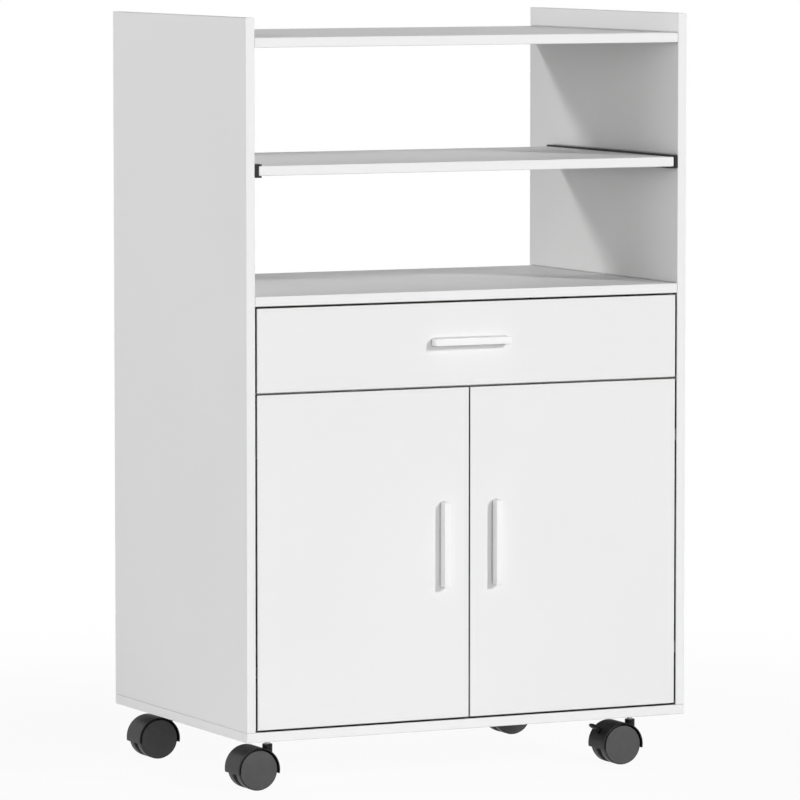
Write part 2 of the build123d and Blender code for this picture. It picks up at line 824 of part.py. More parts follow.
# Right hinge in its own frame: the pin is on the Z axis, the side panel lies towards +X,
# the middle of the door towards -X, and the door's front towards -Y
edge_x = hinge_inset
panel_x = hinge_inset + front_gap
cup_floor_y = cup_front_skin + cup_play - board / 2
cup_inside_y = cup_floor_y + cup_wall
flange_x = edge_x - cup_flange_margin - cup_flange_width / 2
with BuildPart() as hinge_cup:
    with BuildSketch(Plane.XZ.offset(-cup_floor_y)):
        with Locations((-cup_centre, 0)):
            Circle(cup_radius)
    extrude(amount=cup_floor_y - board / 2 - cup_flange)
    with BuildSketch(Plane.XZ.offset(-board / 2)):
        with Locations((flange_x, 0)):
            Rectangle(cup_flange_width, 2 * cup_flange_half_height)
        with Locations(*[(-cup_centre, side * cup_screw_offset) for side in SIDES]):
            RegularPolygon(screw_radius, fastener_sides, mode=Mode.SUBTRACT)
    extrude(amount=-cup_flange)
    with BuildSketch(Plane.XZ.offset(-cup_inside_y)):
        with Locations((-cup_centre, 0)):
            Circle(cup_radius - cup_wall)
    extrude(amount=-board, mode=Mode.SUBTRACT)
    with BuildSketch(Plane.YZ.offset(edge_x - cup_play)):
        Rectangle(2 * board + 2 * cup_flange, 2 * cup_radius)
    extrude(amount=cup_radius, mode=Mode.SUBTRACT)
    for side in SIDES:
        with BuildSketch(Plane.XY.offset(side * (hinge_width / 2 + lug_play))):
            with Locations((0, (cup_inside_y + lug_width / 2) / 2)):
                Rectangle(lug_width, lug_width / 2 - cup_inside_y)
            Circle(hinge_pin, mode=Mode.SUBTRACT)
        extrude(amount=side * lug_thickness)

with BuildPart() as hinge_arm:
    with BuildSketch(Plane.XY.offset(-hinge_width / 2)):
        with BuildLine():
            FilletPolyline(
                (0, 0),
                (0, hinge_knee),
                (panel_x - hinge_strip / 2, hinge_knee),
                (panel_x - hinge_strip / 2, hinge_knee + hinge_reach),
                radius=hinge_bend,
            )
        trace(line_width=hinge_strip)
        Circle(hinge_eye)
        Circle(hinge_pin + hinge_pin_play, mode=Mode.SUBTRACT)
    extrude(amount=hinge_width)
    with BuildSketch(Plane.YZ.offset(panel_x)):
        with Locations(*[(hinge_knee + along, 0) for along in hinge_screw_spots]):
            RegularPolygon(screw_radius, fastener_sides)
    extrude(amount=-hinge_strip, mode=Mode.SUBTRACT)

pin_half = hinge_width / 2 + lug_play + lug_thickness
with BuildPart() as hinge_pin_rod:
    with BuildSketch(Plane.XY.offset(-pin_half)):
        Circle(hinge_pin)
    extrude(amount=2 * pin_half)


def at_hinges(part):
    """One copy of a hinge piece at each hinge of the right door."""
    with BuildPart() as copies:
        with Locations(*[(pivot_x, pivot_y, level) for level in hinge_levels]):
            add(part)
    return copies.part


with BuildPart() as hinge_arms:
    add(at_hinges(hinge_arm.part))
    add(mirrored(at_hinges(hinge_arm.part)))
save(hinge_arms, "hinge_arms")

# Doors. The right door is drawn, and the left one is its mirror image.
cup_x = pivot_x - cup_centre
cup_screw_places = [
    (cup_x, level + side * cup_screw_offset) for level in hinge_levels for side in SIDES
]
with BuildPart() as door:
    add(board_block(door_width, board, door_height, (door_gap / 2, front_y, z_door)))
    with BuildSketch(Plane.XZ.offset(-front_y - board)):
        with Locations(*[(cup_x, level) for level in hinge_levels]):
            Circle(cup_radius + cup_play)
    extrude(amount=board - cup_front_skin, mode=Mode.SUBTRACT)
    with BuildSketch(Plane.XZ.offset(-front_y - board)):
        with Locations(*cup_screw_places):
            RegularPolygon(screw_radius, fastener_sides)
    extrude(amount=screw_bite, mode=Mode.SUBTRACT)
    with BuildSketch(Plane.XZ.offset(-front_y - board)):
        with Locations(*right_handle_screws):
            RegularPolygon(handle_screw_radius, fastener_sides)
    extrude(amount=board, mode=Mode.SUBTRACT)

with BuildPart() as door_screws:
    with Locations(*screws_from_back(right_handle_screws)):
        add(handle_screw)
    with Locations(
        *[
            Plane(origin=(x, front_y + board + cup_flange, z), x_dir=(1, 0, 0), z_dir=(0, 1, 0))
            for x, z in cup_screw_places
        ]
    ):
        add(cup_screw)

strike_z = z_rail - catch_height / 2
with BuildPart() as strike_plate:
    with BuildSketch(Plane.XZ.offset(-front_y - board)):
        with Locations((catch_from_middle, strike_z)):
            Rectangle(catch_width, catch_height - 2 * catch_play)
    extrude(amount=-strike_thickness)

for piece, part in (
    ("door", door.part),
    ("hinge_cups", at_hinges(hinge_cup.part)),
    ("hinge_pins", at_hinges(hinge_pin_rod.part)),
    ("door_screws", door_screws.part),
    ("strike_plate", strike_plate.part),
):
    with BuildPart() as right_piece:
        add(part)
    save(right_piece, f"right_{piece}")
    with BuildPart() as left_piece:
        add(mirrored(part))
    save(left_piece, f"left_{piece}")

# Magnetic catches under the cross rail: a box with a groove between its two pole faces
catch_y = front_y + board + strike_thickness + catch_play
with BuildPart() as door_catches:
    for side in SIDES:
        with BuildSketch(Plane.XY.offset(z_rail)):
            with Locations((side * catch_from_middle, catch_y + catch_depth / 2)):
                Rectangle(catch_width, catch_depth)
        extrude(amount=-catch_height)
        with BuildSketch(Plane.XZ.offset(-catch_y)):
            with Locations((side * catch_from_middle, strike_z)):
                Rectangle(catch_width - 2 * catch_pole, catch_height - 2 * catch_pole)
        extrude(amount=-catch_pole, mode=Mode.SUBTRACT)
save(door_catches, "door_catches")

# Casters. The stem stands in an insert nut in the bottom panel, and the hood swivels on it.
stem_hex_z = caster_height - insert_flange_thickness - stem_hex_height
boss_top_z = caster_height - boss_below_panel
with BuildPart() as stem:
    with BuildSketch(Plane.XY.offset(boss_top_z - stem_depth)):
        Circle(stem_radius)
    extrude(amount=stem_depth + stem_hex_z - boss_top_z)
    with BuildSketch(Plane.XY.offset(stem_hex_z)):
        RegularPolygon(stem_hex, 6)
    extrude(amount=stem_hex_height)
    with BuildSketch(Plane.XY.offset(caster_height - insert_flange_thickness)):
        RegularPolygon(stem_thread_radius, turned_sides)
    extrude(amount=insert_depth)

with BuildPart() as insert:
    with BuildSketch(Plane.XY.offset(caster_height)):
        RegularPolygon(insert_radius, turned_sides)
    extrude(amount=insert_depth)
    with BuildSketch(Plane.XY.offset(caster_height)):
        RegularPolygon(insert_flange, turned_sides)
    extrude(amount=-insert_flange_thickness)
    with BuildSketch(Plane.XY.offset(caster_height - insert_flange_thickness)):
        RegularPolygon(stem_thread_radius, turned_sides)
    extrude(amount=insert_depth, mode=Mode.SUBTRACT)

with BuildPart() as caster_stems:
    with Locations(*[(x, y, 0) for x, y in stem_places]):
        add(stem.part)
save(caster_stems, "caster_stems")

with BuildPart() as stem_inserts:
    with Locations(*[(x, y, 0) for x, y in stem_places]):
        add(insert.part)
save(stem_inserts, "stem_inserts")

# Hood, wheels, axle and brake in the caster's own frame: the axle lies on the Y axis
hood_inner = wheel_radius + hood_gap
hood_outer = hood_inner + hood_wall
wheel_inside_y = hood_core / 2 + wheel_side_play
wheel_outside_y = wheel_inside_y + wheel_width
hood_half = wheel_outside_y + wheel_side_play
boss_top = boss_top_z - wheel_radius
brake_pivot = Vector(brake_pivot_x, brake_pivot_z)
brake_shoe = Vector(brake_shoe_x, brake_shoe_z)
shoe_arm = brake_shoe - brake_pivot
shoe_angle = degrees(atan2(shoe_arm.Y, shoe_arm.X))


def brake_ends(angle, reach):
    """Where the end of a brake arm lies at rest, and where at the end of the lever's travel."""
    turns = (angle, angle + brake_travel)
    ends = [brake_pivot + Vector(reach, 0).rotate(Axis.Z, turn) for turn in turns]
    return [(end.X, end.Y) for end in ends]


arm_ends = brake_ends(brake_arm_angle, 2 * brake_arm_reach)
shoe_ends = brake_ends(shoe_angle, shoe_arm.length)


def caster_hood(braked):
    """The hood over both wheels, with its axle web and stem boss, and room for a brake lever."""
    with BuildPart() as hood:
        with BuildSketch(Plane.XZ.offset(-hood_half)):
            Circle(hood_outer)
            with Locations((0, -hood_drop - hood_outer)):
                Rectangle(2 * hood_outer, 2 * hood_outer, mode=Mode.SUBTRACT)
        extrude(amount=2 * hood_half)
        with BuildSketch(Plane.XY.offset(boss_top)):
            with Locations((trail, 0)):
                Circle(boss_radius)
        extrude(amount=-boss_top)
        for side in SIDES:
            with BuildSketch(Plane.XZ.offset(-side * hood_core / 2)):
                RegularPolygon(hood_inner, hood_inside_sides, major_radius=False)
            extrude(amount=-side * hood_half, mode=Mode.SUBTRACT)
        with BuildSketch(Plane.XY.offset(boss_top)):
            with Locations((trail, 0)):
                Circle(stem_radius + stem_play)
        extrude(amount=-stem_depth - stem_play, mode=Mode.SUBTRACT)
        with BuildSketch(Plane.XZ.offset(-hood_core / 2)):
            Circle(axle_radius)
        extrude(amount=hood_core, mode=Mode.SUBTRACT)
        if braked:
            with BuildSketch(Plane.XZ.offset(-brake_blade / 2 - brake_play)):
                with Locations((brake_pivot_x, brake_pivot_z)):
                    Circle(brake_hub + brake_play)
                for ends in (arm_ends, shoe_ends):
                    with BuildLine():
                        Polyline((brake_pivot_x, brake_pivot_z), *ends, close=True)
                    make_face()
                    with BuildLine():
                        for end in ends:
                            Line((brake_pivot_x, brake_pivot_z), end)
                    trace(line_width=brake_arm_width + 2 * brake_play)
            extrude(amount=brake_blade + 2 * brake_play, mode=Mode.SUBTRACT)
            with BuildSketch(Plane.XZ.offset(-hood_core / 2)):
                with Locations((brake_pivot_x, brake_pivot_z)):
                    Circle(brake_pin_radius + axle_play)
                with BuildLine():
                    CenterArc(
                        (brake_pivot_x, brake_pivot_z), shoe_arm.length, shoe_angle, brake_travel
                    )
                trace(line_width=2 * (brake_shoe_radius + brake_play))
                with Locations(*shoe_ends):
                    Circle(brake_shoe_radius + brake_play)
            extrude(amount=hood_core, mode=Mode.SUBTRACT)
    return hood.part


def caster_wheel(side):
    """One of the twin wheels: tread, outer disc and hub, hollow on the side of the hood's web."""
    recess_depth = wheel_width - wheel_disc
    with BuildPart() as wheel:
        with BuildSketch(Plane.XZ.offset(-side * wheel_inside_y)):
            RegularPolygon(wheel_radius, wheel_sides, major_radius=False)
        extrude(amount=-side * wheel_width)
        with BuildSketch(Plane.XZ.offset(-side * wheel_inside_y)):
            RegularPolygon(wheel_radius - wheel_wall, wheel_recess_sides)
            RegularPolygon(wheel_hub, fastener_sides, mode=Mode.SUBTRACT)
        extrude(amount=-side * recess_depth, mode=Mode.SUBTRACT)
        with BuildSketch(Plane.XZ.offset(-side * wheel_inside_y)):
            Circle(axle_radius + axle_play)
        extrude(amount=-side * (axle_half + axle_end_gap - wheel_inside_y), mode=Mode.SUBTRACT)
    return wheel.part


with BuildPart() as axle:
    with BuildSketch(Plane.XZ.offset(-axle_half)):
        Circle(axle_radius)
    extrude(amount=2 * axle_half)

# Brake lever: a blade in the web's slot, with a pivot pin, a shoe bar that presses on the
# hubs of both wheels, and a paddle outside the hood
arm_tip = brake_pivot + Vector(brake_arm_reach, 0).rotate(Axis.Z, brake_arm_angle)
arm_middle = arm_tip - Vector(brake_paddle_length / 2, 0).rotate(Axis.Z, brake_arm_angle)
with BuildPart() as brake_lever:
    with BuildSketch(Plane.XZ.offset(-brake_blade / 2)):
        with Locations((brake_pivot_x, brake_pivot_z)):
            Circle(brake_hub)
        with BuildLine():
            Line((arm_middle.X, arm_middle.Y), (brake_pivot_x, brake_pivot_z))
            Line((brake_pivot_x, brake_pivot_z), (brake_shoe_x, brake_shoe_z))
        trace(line_width=brake_arm_width)
    extrude(amount=brake_blade)
    with BuildSketch(Plane.XZ.offset(-brake_shoe_reach)):
        with Locations((brake_shoe_x, brake_shoe_z)):
            Circle(brake_shoe_radius)
    extrude(amount=2 * brake_shoe_reach)
    with BuildSketch(Plane.XZ.offset(-hood_core / 2 + axle_play)):
        with Locations((brake_pivot_x, brake_pivot_z)):
            Circle(brake_pin_radius)
    extrude(amount=hood_core - 2 * axle_play)
    with BuildSketch(
        Plane(
            origin=(arm_middle.X, 0, arm_middle.Y),
            x_dir=(0, 1, 0),
            z_dir=(-sin(radians(brake_arm_angle)), 0, cos(radians(brake_arm_angle))),
        )
    ):
        RectangleRounded(brake_paddle_width, brake_paddle_length, brake_paddle_round)
    extrude(amount=brake_paddle_thickness / 2, both=True)

plain_hood = caster_hood(braked=False)
braked_hood = caster_hood(braked=True)
near_wheel = caster_wheel(-1)
far_wheel = caster_wheel(1)
caster_names = ("front_left", "back_left", "front_right", "back_right")
for corner, (stem_x, stem_y) in zip(caster_names, stem_places):
    braked = stem_x > 0
    pieces = {
        "hood": braked_hood if braked else plain_hood,
        "axle": axle.part,
        "near_wheel": near_wheel,
        "far_wheel": far_wheel,
    }
    if braked:
        pieces["brake_lever"] = brake_lever.part
    for piece, part in pieces.items():
        with BuildPart() as placed_piece:
            with Locations((stem_x - trail, stem_y, wheel_radius)):
                add(part)
        save(placed_piece, f"{corner}_{piece}")
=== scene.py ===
# %% [markdown]
# # A kitchen storage cabinet on casters
#
# The cabinet is already built as solids: boards, a drawer, two doors, a sliding shelf and four
# casters. This lesson dresses it. Every solid that has the right shape stays and only gets a
# finish. What shows its detail from close by, such as handles, wheels and screw heads, is
# modelled again here as a finer mesh, in the place of the solid it stands for.

# %% Load the frame
import json
from math import cos, degrees, pi, radians, sin

import bmesh
import bpy
from mathutils import Matrix, Vector


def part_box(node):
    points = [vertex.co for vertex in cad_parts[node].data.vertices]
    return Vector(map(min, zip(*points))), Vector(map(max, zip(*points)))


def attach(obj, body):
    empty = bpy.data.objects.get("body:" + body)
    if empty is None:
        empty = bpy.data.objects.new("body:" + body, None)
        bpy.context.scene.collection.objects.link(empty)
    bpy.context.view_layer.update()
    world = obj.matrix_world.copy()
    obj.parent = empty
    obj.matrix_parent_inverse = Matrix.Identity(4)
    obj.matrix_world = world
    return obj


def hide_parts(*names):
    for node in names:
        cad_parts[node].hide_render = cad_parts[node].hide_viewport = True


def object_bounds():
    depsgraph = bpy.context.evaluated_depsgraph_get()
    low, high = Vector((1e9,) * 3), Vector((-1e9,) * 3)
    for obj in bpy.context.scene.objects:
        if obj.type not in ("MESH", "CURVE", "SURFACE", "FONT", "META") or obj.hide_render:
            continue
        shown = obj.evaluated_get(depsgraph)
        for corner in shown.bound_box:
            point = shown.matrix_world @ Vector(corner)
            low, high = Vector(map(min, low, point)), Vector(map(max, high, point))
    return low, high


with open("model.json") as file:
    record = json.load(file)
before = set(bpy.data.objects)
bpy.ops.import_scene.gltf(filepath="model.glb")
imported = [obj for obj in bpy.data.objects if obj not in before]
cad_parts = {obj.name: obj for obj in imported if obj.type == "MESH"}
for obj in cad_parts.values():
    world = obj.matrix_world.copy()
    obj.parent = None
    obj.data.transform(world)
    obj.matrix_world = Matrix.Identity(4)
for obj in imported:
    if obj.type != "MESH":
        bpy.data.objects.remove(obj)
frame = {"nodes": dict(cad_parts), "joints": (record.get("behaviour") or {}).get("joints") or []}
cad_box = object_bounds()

scene = bpy.context.scene
MM = 0.001

# %% [markdown]
# ## The camera
#
# The photograph was taken with a long lens, a little to the left of the cabinet and a little
# above its top. A camera can be set by eye, but then every piece looks slightly misplaced.
# Solving the straight edges of the boards for one point of view gives the place, the two
# angles and the focal length, which is written here in pixels of the 800 pixel frame.

# %% Camera
IMAGE_PIXELS = 800
FOCAL_PIXELS = 6022.7
SENSOR_MM = 36.0
camera_place = Vector((-3.291, -6.7471, 1.0956))
camera_yaw = radians(26.0)
camera_pitch = radians(4.888)

lens = bpy.data.cameras.new("photo_camera")
lens.sensor_width = SENSOR_MM
lens.lens = FOCAL_PIXELS * SENSOR_MM / IMAGE_PIXELS
camera = bpy.data.objects.new("photo_camera", lens)
camera.location = camera_place
camera.rotation_euler = (pi / 2 - camera_pitch, 0, -camera_yaw)
scene.collection.objects.link(camera)
scene.camera = camera
print("lens", round(lens.lens, 1), "mm")

# %% [markdown]
# ## Light, sky and floor
#
# Studio photographs of white furniture need light that differs from face to face, or the edges
# melt into the background. A sky of one brightness would make all faces alike. Here it is
# bright near the horizon and dark overhead, so that fronts and sides are lighter than the tops
# of the shelves. Rays that show the background, from the camera, from gloss and through glass,
# meet plain white instead, and a Light Path node tells them from the rays that carry light.

# %% Sky
SKY_AT_HORIZON = 1.2
SKY_OVERHEAD = 0.0
SKY_FADES_OUT_AT = 0.5
scene.view_settings.view_transform = "Standard"

sky = bpy.data.worlds.new("studio_sky")
sky.use_nodes = True
scene.world = sky
sky_tree = sky.node_tree
sky_tree.nodes.clear()


def link(tree, source, target):
    """Joins one output socket to one input socket."""
    tree.links.new(source, target)


def maths(tree, operation, *values):
    """The output of a Math node with these values joined to its inputs."""
    node = tree.nodes.new("ShaderNodeMath")
    node.operation = operation
    for value, socket in zip(values, node.inputs):
        link(tree, value, socket)
    return node.outputs[0]


def seen_directly(tree):
    """One for rays that show the background: from the camera, from gloss and through glass."""
    path = tree.nodes.new("ShaderNodeLightPath").outputs
    bounced = maths(tree, "MAXIMUM", path["Is Glossy Ray"], path["Is Transmission Ray"])
    return maths(tree, "MAXIMUM", path["Is Camera Ray"], bounced)


def mixed_shaders(tree, factor, first, second, output_kind):
    """Ends a tree in an output node, with two shaders mixed by a factor."""
    mix = tree.nodes.new("ShaderNodeMixShader")
    for source, socket in zip((factor, first, second), mix.inputs):
        link(tree, source, socket)
    link(tree, mix.outputs[0], tree.nodes.new(output_kind).inputs["Surface"])


direction = sky_tree.nodes.new("ShaderNodeTexCoord")
split = sky_tree.nodes.new("ShaderNodeSeparateXYZ")
link(sky_tree, direction.outputs["Generated"], split.inputs[0])
fade = sky_tree.nodes.new("ShaderNodeMapRange")
fade.inputs["From Max"].default_value = SKY_FADES_OUT_AT
fade.inputs["To Min"].default_value = SKY_AT_HORIZON
fade.inputs["To Max"].default_value = SKY_OVERHEAD
link(sky_tree, split.outputs["Z"], fade.inputs["Value"])
light_sky = sky_tree.nodes.new("ShaderNodeBackground")
link(sky_tree, fade.outputs[0], light_sky.inputs["Color"])
white_sky = sky_tree.nodes.new("ShaderNodeBackground")
white_sky.inputs["Color"].default_value = (1, 1, 1, 1)
mixed_shaders(
    sky_tree, seen_directly(sky_tree), light_sky.outputs[0], white_sky.outputs[0],
    "ShaderNodeOutputWorld",
)
print("sky from", SKY_AT_HORIZON, "to", SKY_OVERHEAD)

# %% [markdown]
# ### Lamps
#
# One lamp comes from the right and draws the shadows of the handles, a wide and low one fills
# the front, a weak one lights the left side, and one comes from behind on the left and draws
# the slanting edges on the right wall. Area lamps could do this too, but they light near
# boards more than far ones. Sun lamps light all boards alike, and their angle makes the
# shadows soft.

# %% Lamps
def sun_lamp(name, source, strength, spread):
    """A sun lamp that shines from the direction of its source, spread over some degrees."""
    data = bpy.data.lights.new(name, "SUN")
    data.energy = strength
    data.angle = radians(spread)
    lamp = bpy.data.objects.new(name, data)
    lamp.rotation_euler = Vector(source).to_track_quat("Z", "Y").to_euler()
    scene.collection.objects.link(lamp)


sun_lamp("key_lamp", source=(0.56, -1.0, 0.50), strength=1.70, spread=7)
sun_lamp("fill_lamp", source=(-0.2, -1.0, 0.03), strength=0.88, spread=45)
sun_lamp("side_lamp", source=(-1.0, -0.1, 0.06), strength=0.42, spread=12)
sun_lamp("back_lamp", source=(-2.6, 1.05, 0.95), strength=0.84, spread=7)

# %% [markdown]
# ### Floor
#
# The floor is a sheet far wider than the picture, so that no edge of it shows. White paint
# alone would look grey, because the lamps stand low and only graze it. So the sheet is a pale
# paint, which light and shadows fall on, mixed with a glow for the rays that look at it. The
# glow is full far out and a little weaker near the cabinet, where the shadow has to show.

# %% Floor
FLOOR_HALF = 30.0
FLOOR_COLOUR = (0.8, 0.8, 0.8, 1)
FLOOR_GLOW = 0.94
GLOW_STARTS = 0.5
GLOW_FULL = 1.6

floor_mesh = bpy.data.meshes.new("floor")
floor_mesh.from_pydata(
    [(x * FLOOR_HALF, y * FLOOR_HALF, 0) for x, y in ((-1, -1), (1, -1), (1, 1), (-1, 1))],
    [],
    [(0, 1, 2, 3)],
)
floor = bpy.data.objects.new("floor", floor_mesh)
scene.collection.objects.link(floor)

pale = bpy.data.materials.new("pale_floor")
pale.use_nodes = True
pale_tree = pale.node_tree
pale_tree.nodes.clear()
place = pale_tree.nodes.new("ShaderNodeTexCoord")
far = pale_tree.nodes.new("ShaderNodeVectorMath")
far.operation = "LENGTH"
link(pale_tree, place.outputs["Object"], far.inputs[0])
glow = pale_tree.nodes.new("ShaderNodeMapRange")
glow.interpolation_type = "SMOOTHSTEP"
glow.inputs["From Min"].default_value = GLOW_STARTS
glow.inputs["From Max"].default_value = GLOW_FULL
glow.inputs["To Min"].default_value = FLOOR_GLOW
glow.inputs["To Max"].default_value = 1.0
link(pale_tree, far.outputs["Value"], glow.inputs["Value"])
glow_seen = maths(pale_tree, "MULTIPLY", glow.outputs[0], seen_directly(pale_tree))
paint = pale_tree.nodes.new("ShaderNodeBsdfDiffuse")
paint.inputs["Color"].default_value = FLOOR_COLOUR
light = pale_tree.nodes.new("ShaderNodeEmission")
mixed_shaders(
    pale_tree, glow_seen, paint.outputs[0], light.outputs[0], "ShaderNodeOutputMaterial"
)
floor_mesh.materials.append(pale)
print("floor", 2 * FLOOR_HALF, "m wide")

# %% [markdown]
# ## Finishes
#
# Each finish is a small node tree on Object coordinates. All pieces keep their objects at the
# origin, so these are simply places on the cabinet in metres, and a grain of 0.4 mm is a noise
# of scale 2500 on every piece. Painted pictures could do the same, but they blur from close by
# and need unwrapped pieces. Short helpers start a material, make a noise, spread a value over
# a range, mix two colours, tell which way a surface faces, and raise a relief.

# %% Helpers for finishes
NOISE_LOW = 0.3
NOISE_HIGH = 0.7
SOFT_DETAIL = 2.0


def start_finish(name, metal=0.0, specular=0.5):
    """A new material, its tree, its surface shader and its Object coordinates."""
    finish = bpy.data.materials.new(name)
    finish.use_nodes = True
    tree = finish.node_tree
    shader = tree.nodes["Principled BSDF"]
    shader.inputs["Metallic"].default_value = metal
    shader.inputs["Specular IOR Level"].default_value = specular
    coordinates = tree.nodes.new("ShaderNodeTexCoord")
    return finish, tree, shader, coordinates


def grain(tree, coordinates, scale, detail=SOFT_DETAIL, stretch=(1, 1, 1)):
    """A noise between 0 and 1, with its cells stretched along the axes by the factors given."""
    mapping = tree.nodes.new("ShaderNodeMapping")
    mapping.inputs["Scale"].default_value = [1 / factor for factor in stretch]
    link(tree, coordinates.outputs["Object"], mapping.inputs["Vector"])
    noise = tree.nodes.new("ShaderNodeTexNoise")
    noise.inputs["Scale"].default_value = scale
    noise.inputs["Detail"].default_value = detail
    link(tree, mapping.outputs[0], noise.inputs["Vector"])
    return noise.outputs["Fac"]


def between(tree, factor, low, high, start=NOISE_LOW, end=NOISE_HIGH):
    """A value that goes from low to high while the factor goes from start to end."""
    spread = tree.nodes.new("ShaderNodeMapRange")
    spread.inputs["From Min"].default_value = start
    spread.inputs["From Max"].default_value = end
    spread.inputs["To Min"].default_value = low
    spread.inputs["To Max"].default_value = high
    link(tree, factor, spread.inputs["Value"])
    return spread.outputs[0]


def blend(tree, factor, first, second):
    """Two colours mixed by a factor. Each is three numbers or the output of another node."""
    mix = tree.nodes.new("ShaderNodeMix")
    mix.data_type = "RGBA"
    link(tree, factor, mix.inputs["Factor"])
    for label, colour in (("A", first), ("B", second)):
        if isinstance(colour, tuple):
            mix.inputs[label].default_value = (*colour, 1)
        else:
            link(tree, colour, mix.inputs[label])
    return mix.outputs["Result"]


def facing(tree, coordinates, axis):
    """One where the surface faces along an axis, and nought where it lies along it."""
    normal = tree.nodes.new("ShaderNodeSeparateXYZ")
    link(tree, coordinates.outputs["Normal"], normal.inputs[0])
    return maths(tree, "ABSOLUTE", normal.outputs[axis])


def relief(tree, shader, height, depth, strength=1.0):
    """Raises a bump of the depth given, in metres."""
    bump = tree.nodes.new("ShaderNodeBump")
    bump.inputs["Strength"].default_value = strength
    bump.inputs["Distance"].default_value = depth
    link(tree, height, bump.inputs["Height"])
    link(tree, bump.outputs[0], shader.inputs["Normal"])


print("noise spread from", NOISE_LOW, "to", NOISE_HIGH)

# %% [markdown]
# ### Dark gaps
#
# In the photograph the gaps round the doors and the drawer are thin black lines, since hardly
# any light finds its way in. Here the low sky and the wide lamp in front shine deep into them.
# Strips of black could be laid in the gaps, but they would show when a door opens. An Ambient
# Occlusion node does it in the finish: it tells how much of the room within a few millimetres
# of a point is free, and where less than about half is, the colour turns nearly black.

# %% Shade for the gaps
GAP_REACH = 5 * MM
GAP_DARK = 0.45
GAP_CLEAR = 0.57
GAP_SAMPLES = 6
GAP_COLOUR = (0.004, 0.004, 0.004)


def shaded_gaps(tree, colour):
    """The colour, turned nearly black deep inside gaps that are a few millimetres wide."""
    nearby = tree.nodes.new("ShaderNodeAmbientOcclusion")
    nearby.samples = GAP_SAMPLES
    nearby.inputs["Distance"].default_value = GAP_REACH
    openness = between(tree, nearby.outputs["AO"], 0, 1, GAP_DARK, GAP_CLEAR)
    return blend(tree, openness, GAP_COLOUR, colour)


print("gaps are dark within", round(GAP_REACH / MM, 1), "mm")

# %% [markdown]
# ### White melamine
#
# The boards are particle board pressed with white melamine paper. The paper has a fine pebble
# relief and a satin sheen, and the narrow sides carry an iron-on edge band, which is a trace
# whiter, with a thin seam where it meets the face. The seams could be modelled as grooves, but
# they are finer than any pixel. They lie on the eased edges, whose normals stand at 45
# degrees, so the Normal output finds band, seam and face without any drawing. One finish is
# made for each direction in which a board can be thin.

# %% White board
FACE_WHITE = (0.86, 0.862, 0.86)
FACE_SHADE = (0.845, 0.846, 0.843)
BAND_WHITE = (0.872, 0.873, 0.872)
SEAM_SHADE = (0.80, 0.80, 0.795)
SEAM_FACING = 0.5
FACE_STARTS = 0.9
FACE_FULL = 0.95
BOARD_SPECULAR = 0.12
BOARD_ROUGHNESS = (0.44, 0.54)
CLOUD_SIZE = 250 * MM
PEBBLES_PER_METRE = 1400.0
PEBBLE_DEPTH = 0.02 * MM
PEBBLE_STRENGTH = 0.6
FINE_DETAIL = 3.0


def board_finish(name, axis):
    """White melamine for a board that is thin along one axis: 0 is X, 1 is Y and 2 is Z."""
    finish, tree, shader, coordinates = start_finish(name, specular=BOARD_SPECULAR)
    cloud = between(tree, grain(tree, coordinates, 1 / CLOUD_SIZE), 0, 1)
    face = blend(tree, cloud, FACE_WHITE, FACE_SHADE)

    across = facing(tree, coordinates, axis)
    edge = tree.nodes.new("ShaderNodeValToRGB")
    edge.color_ramp.interpolation = "CONSTANT"
    edge.color_ramp.elements[0].color = (*BAND_WHITE, 1)
    edge.color_ramp.elements[1].position = SEAM_FACING
    edge.color_ramp.elements[1].color = (*SEAM_SHADE, 1)
    link(tree, across, edge.inputs["Fac"])
    on_face = between(tree, across, 0, 1, FACE_STARTS, FACE_FULL)
    colour = blend(tree, on_face, edge.outputs["Color"], face)
    link(tree, shaded_gaps(tree, colour), shader.inputs["Base Color"])

    pebble = grain(tree, coordinates, PEBBLES_PER_METRE, FINE_DETAIL)
    link(tree, between(tree, pebble, *BOARD_ROUGHNESS), shader.inputs["Roughness"])
    relief(tree, shader, pebble, PEBBLE_DEPTH, PEBBLE_STRENGTH)
    return finish


board_finishes = [board_finish(f"white_board_{'xyz'[axis]}", axis) for axis in range(3)]
print([finish.name for finish in board_finishes])

# %% [markdown]
# ### The back board
#
# The thin back of the cupboard is fibreboard, coated white on its front and bare brown behind,
# with fibres that lie along its width. Two pieces could be glued together for it. One finish
# is simpler: it reads the depth of each point and changes in the middle of the board.

# %% Back board
BACK_WHITE = (0.825, 0.825, 0.825)
BACK_WHITE_SHADE = (0.81, 0.81, 0.81)
BARE_BROWN = (0.33, 0.20, 0.105)
BARE_BROWN_SHADE = (0.25, 0.145, 0.072)
COAT_THICKNESS = 0.1 * MM
FIBRES_PER_METRE = 900.0
FIBRE_DETAIL = 4.0
FIBRE_STRETCH = (3, 1, 1)
FIBRE_DEPTH = 0.05 * MM
FIBRE_ROUGHNESS = (0.6, 0.78)


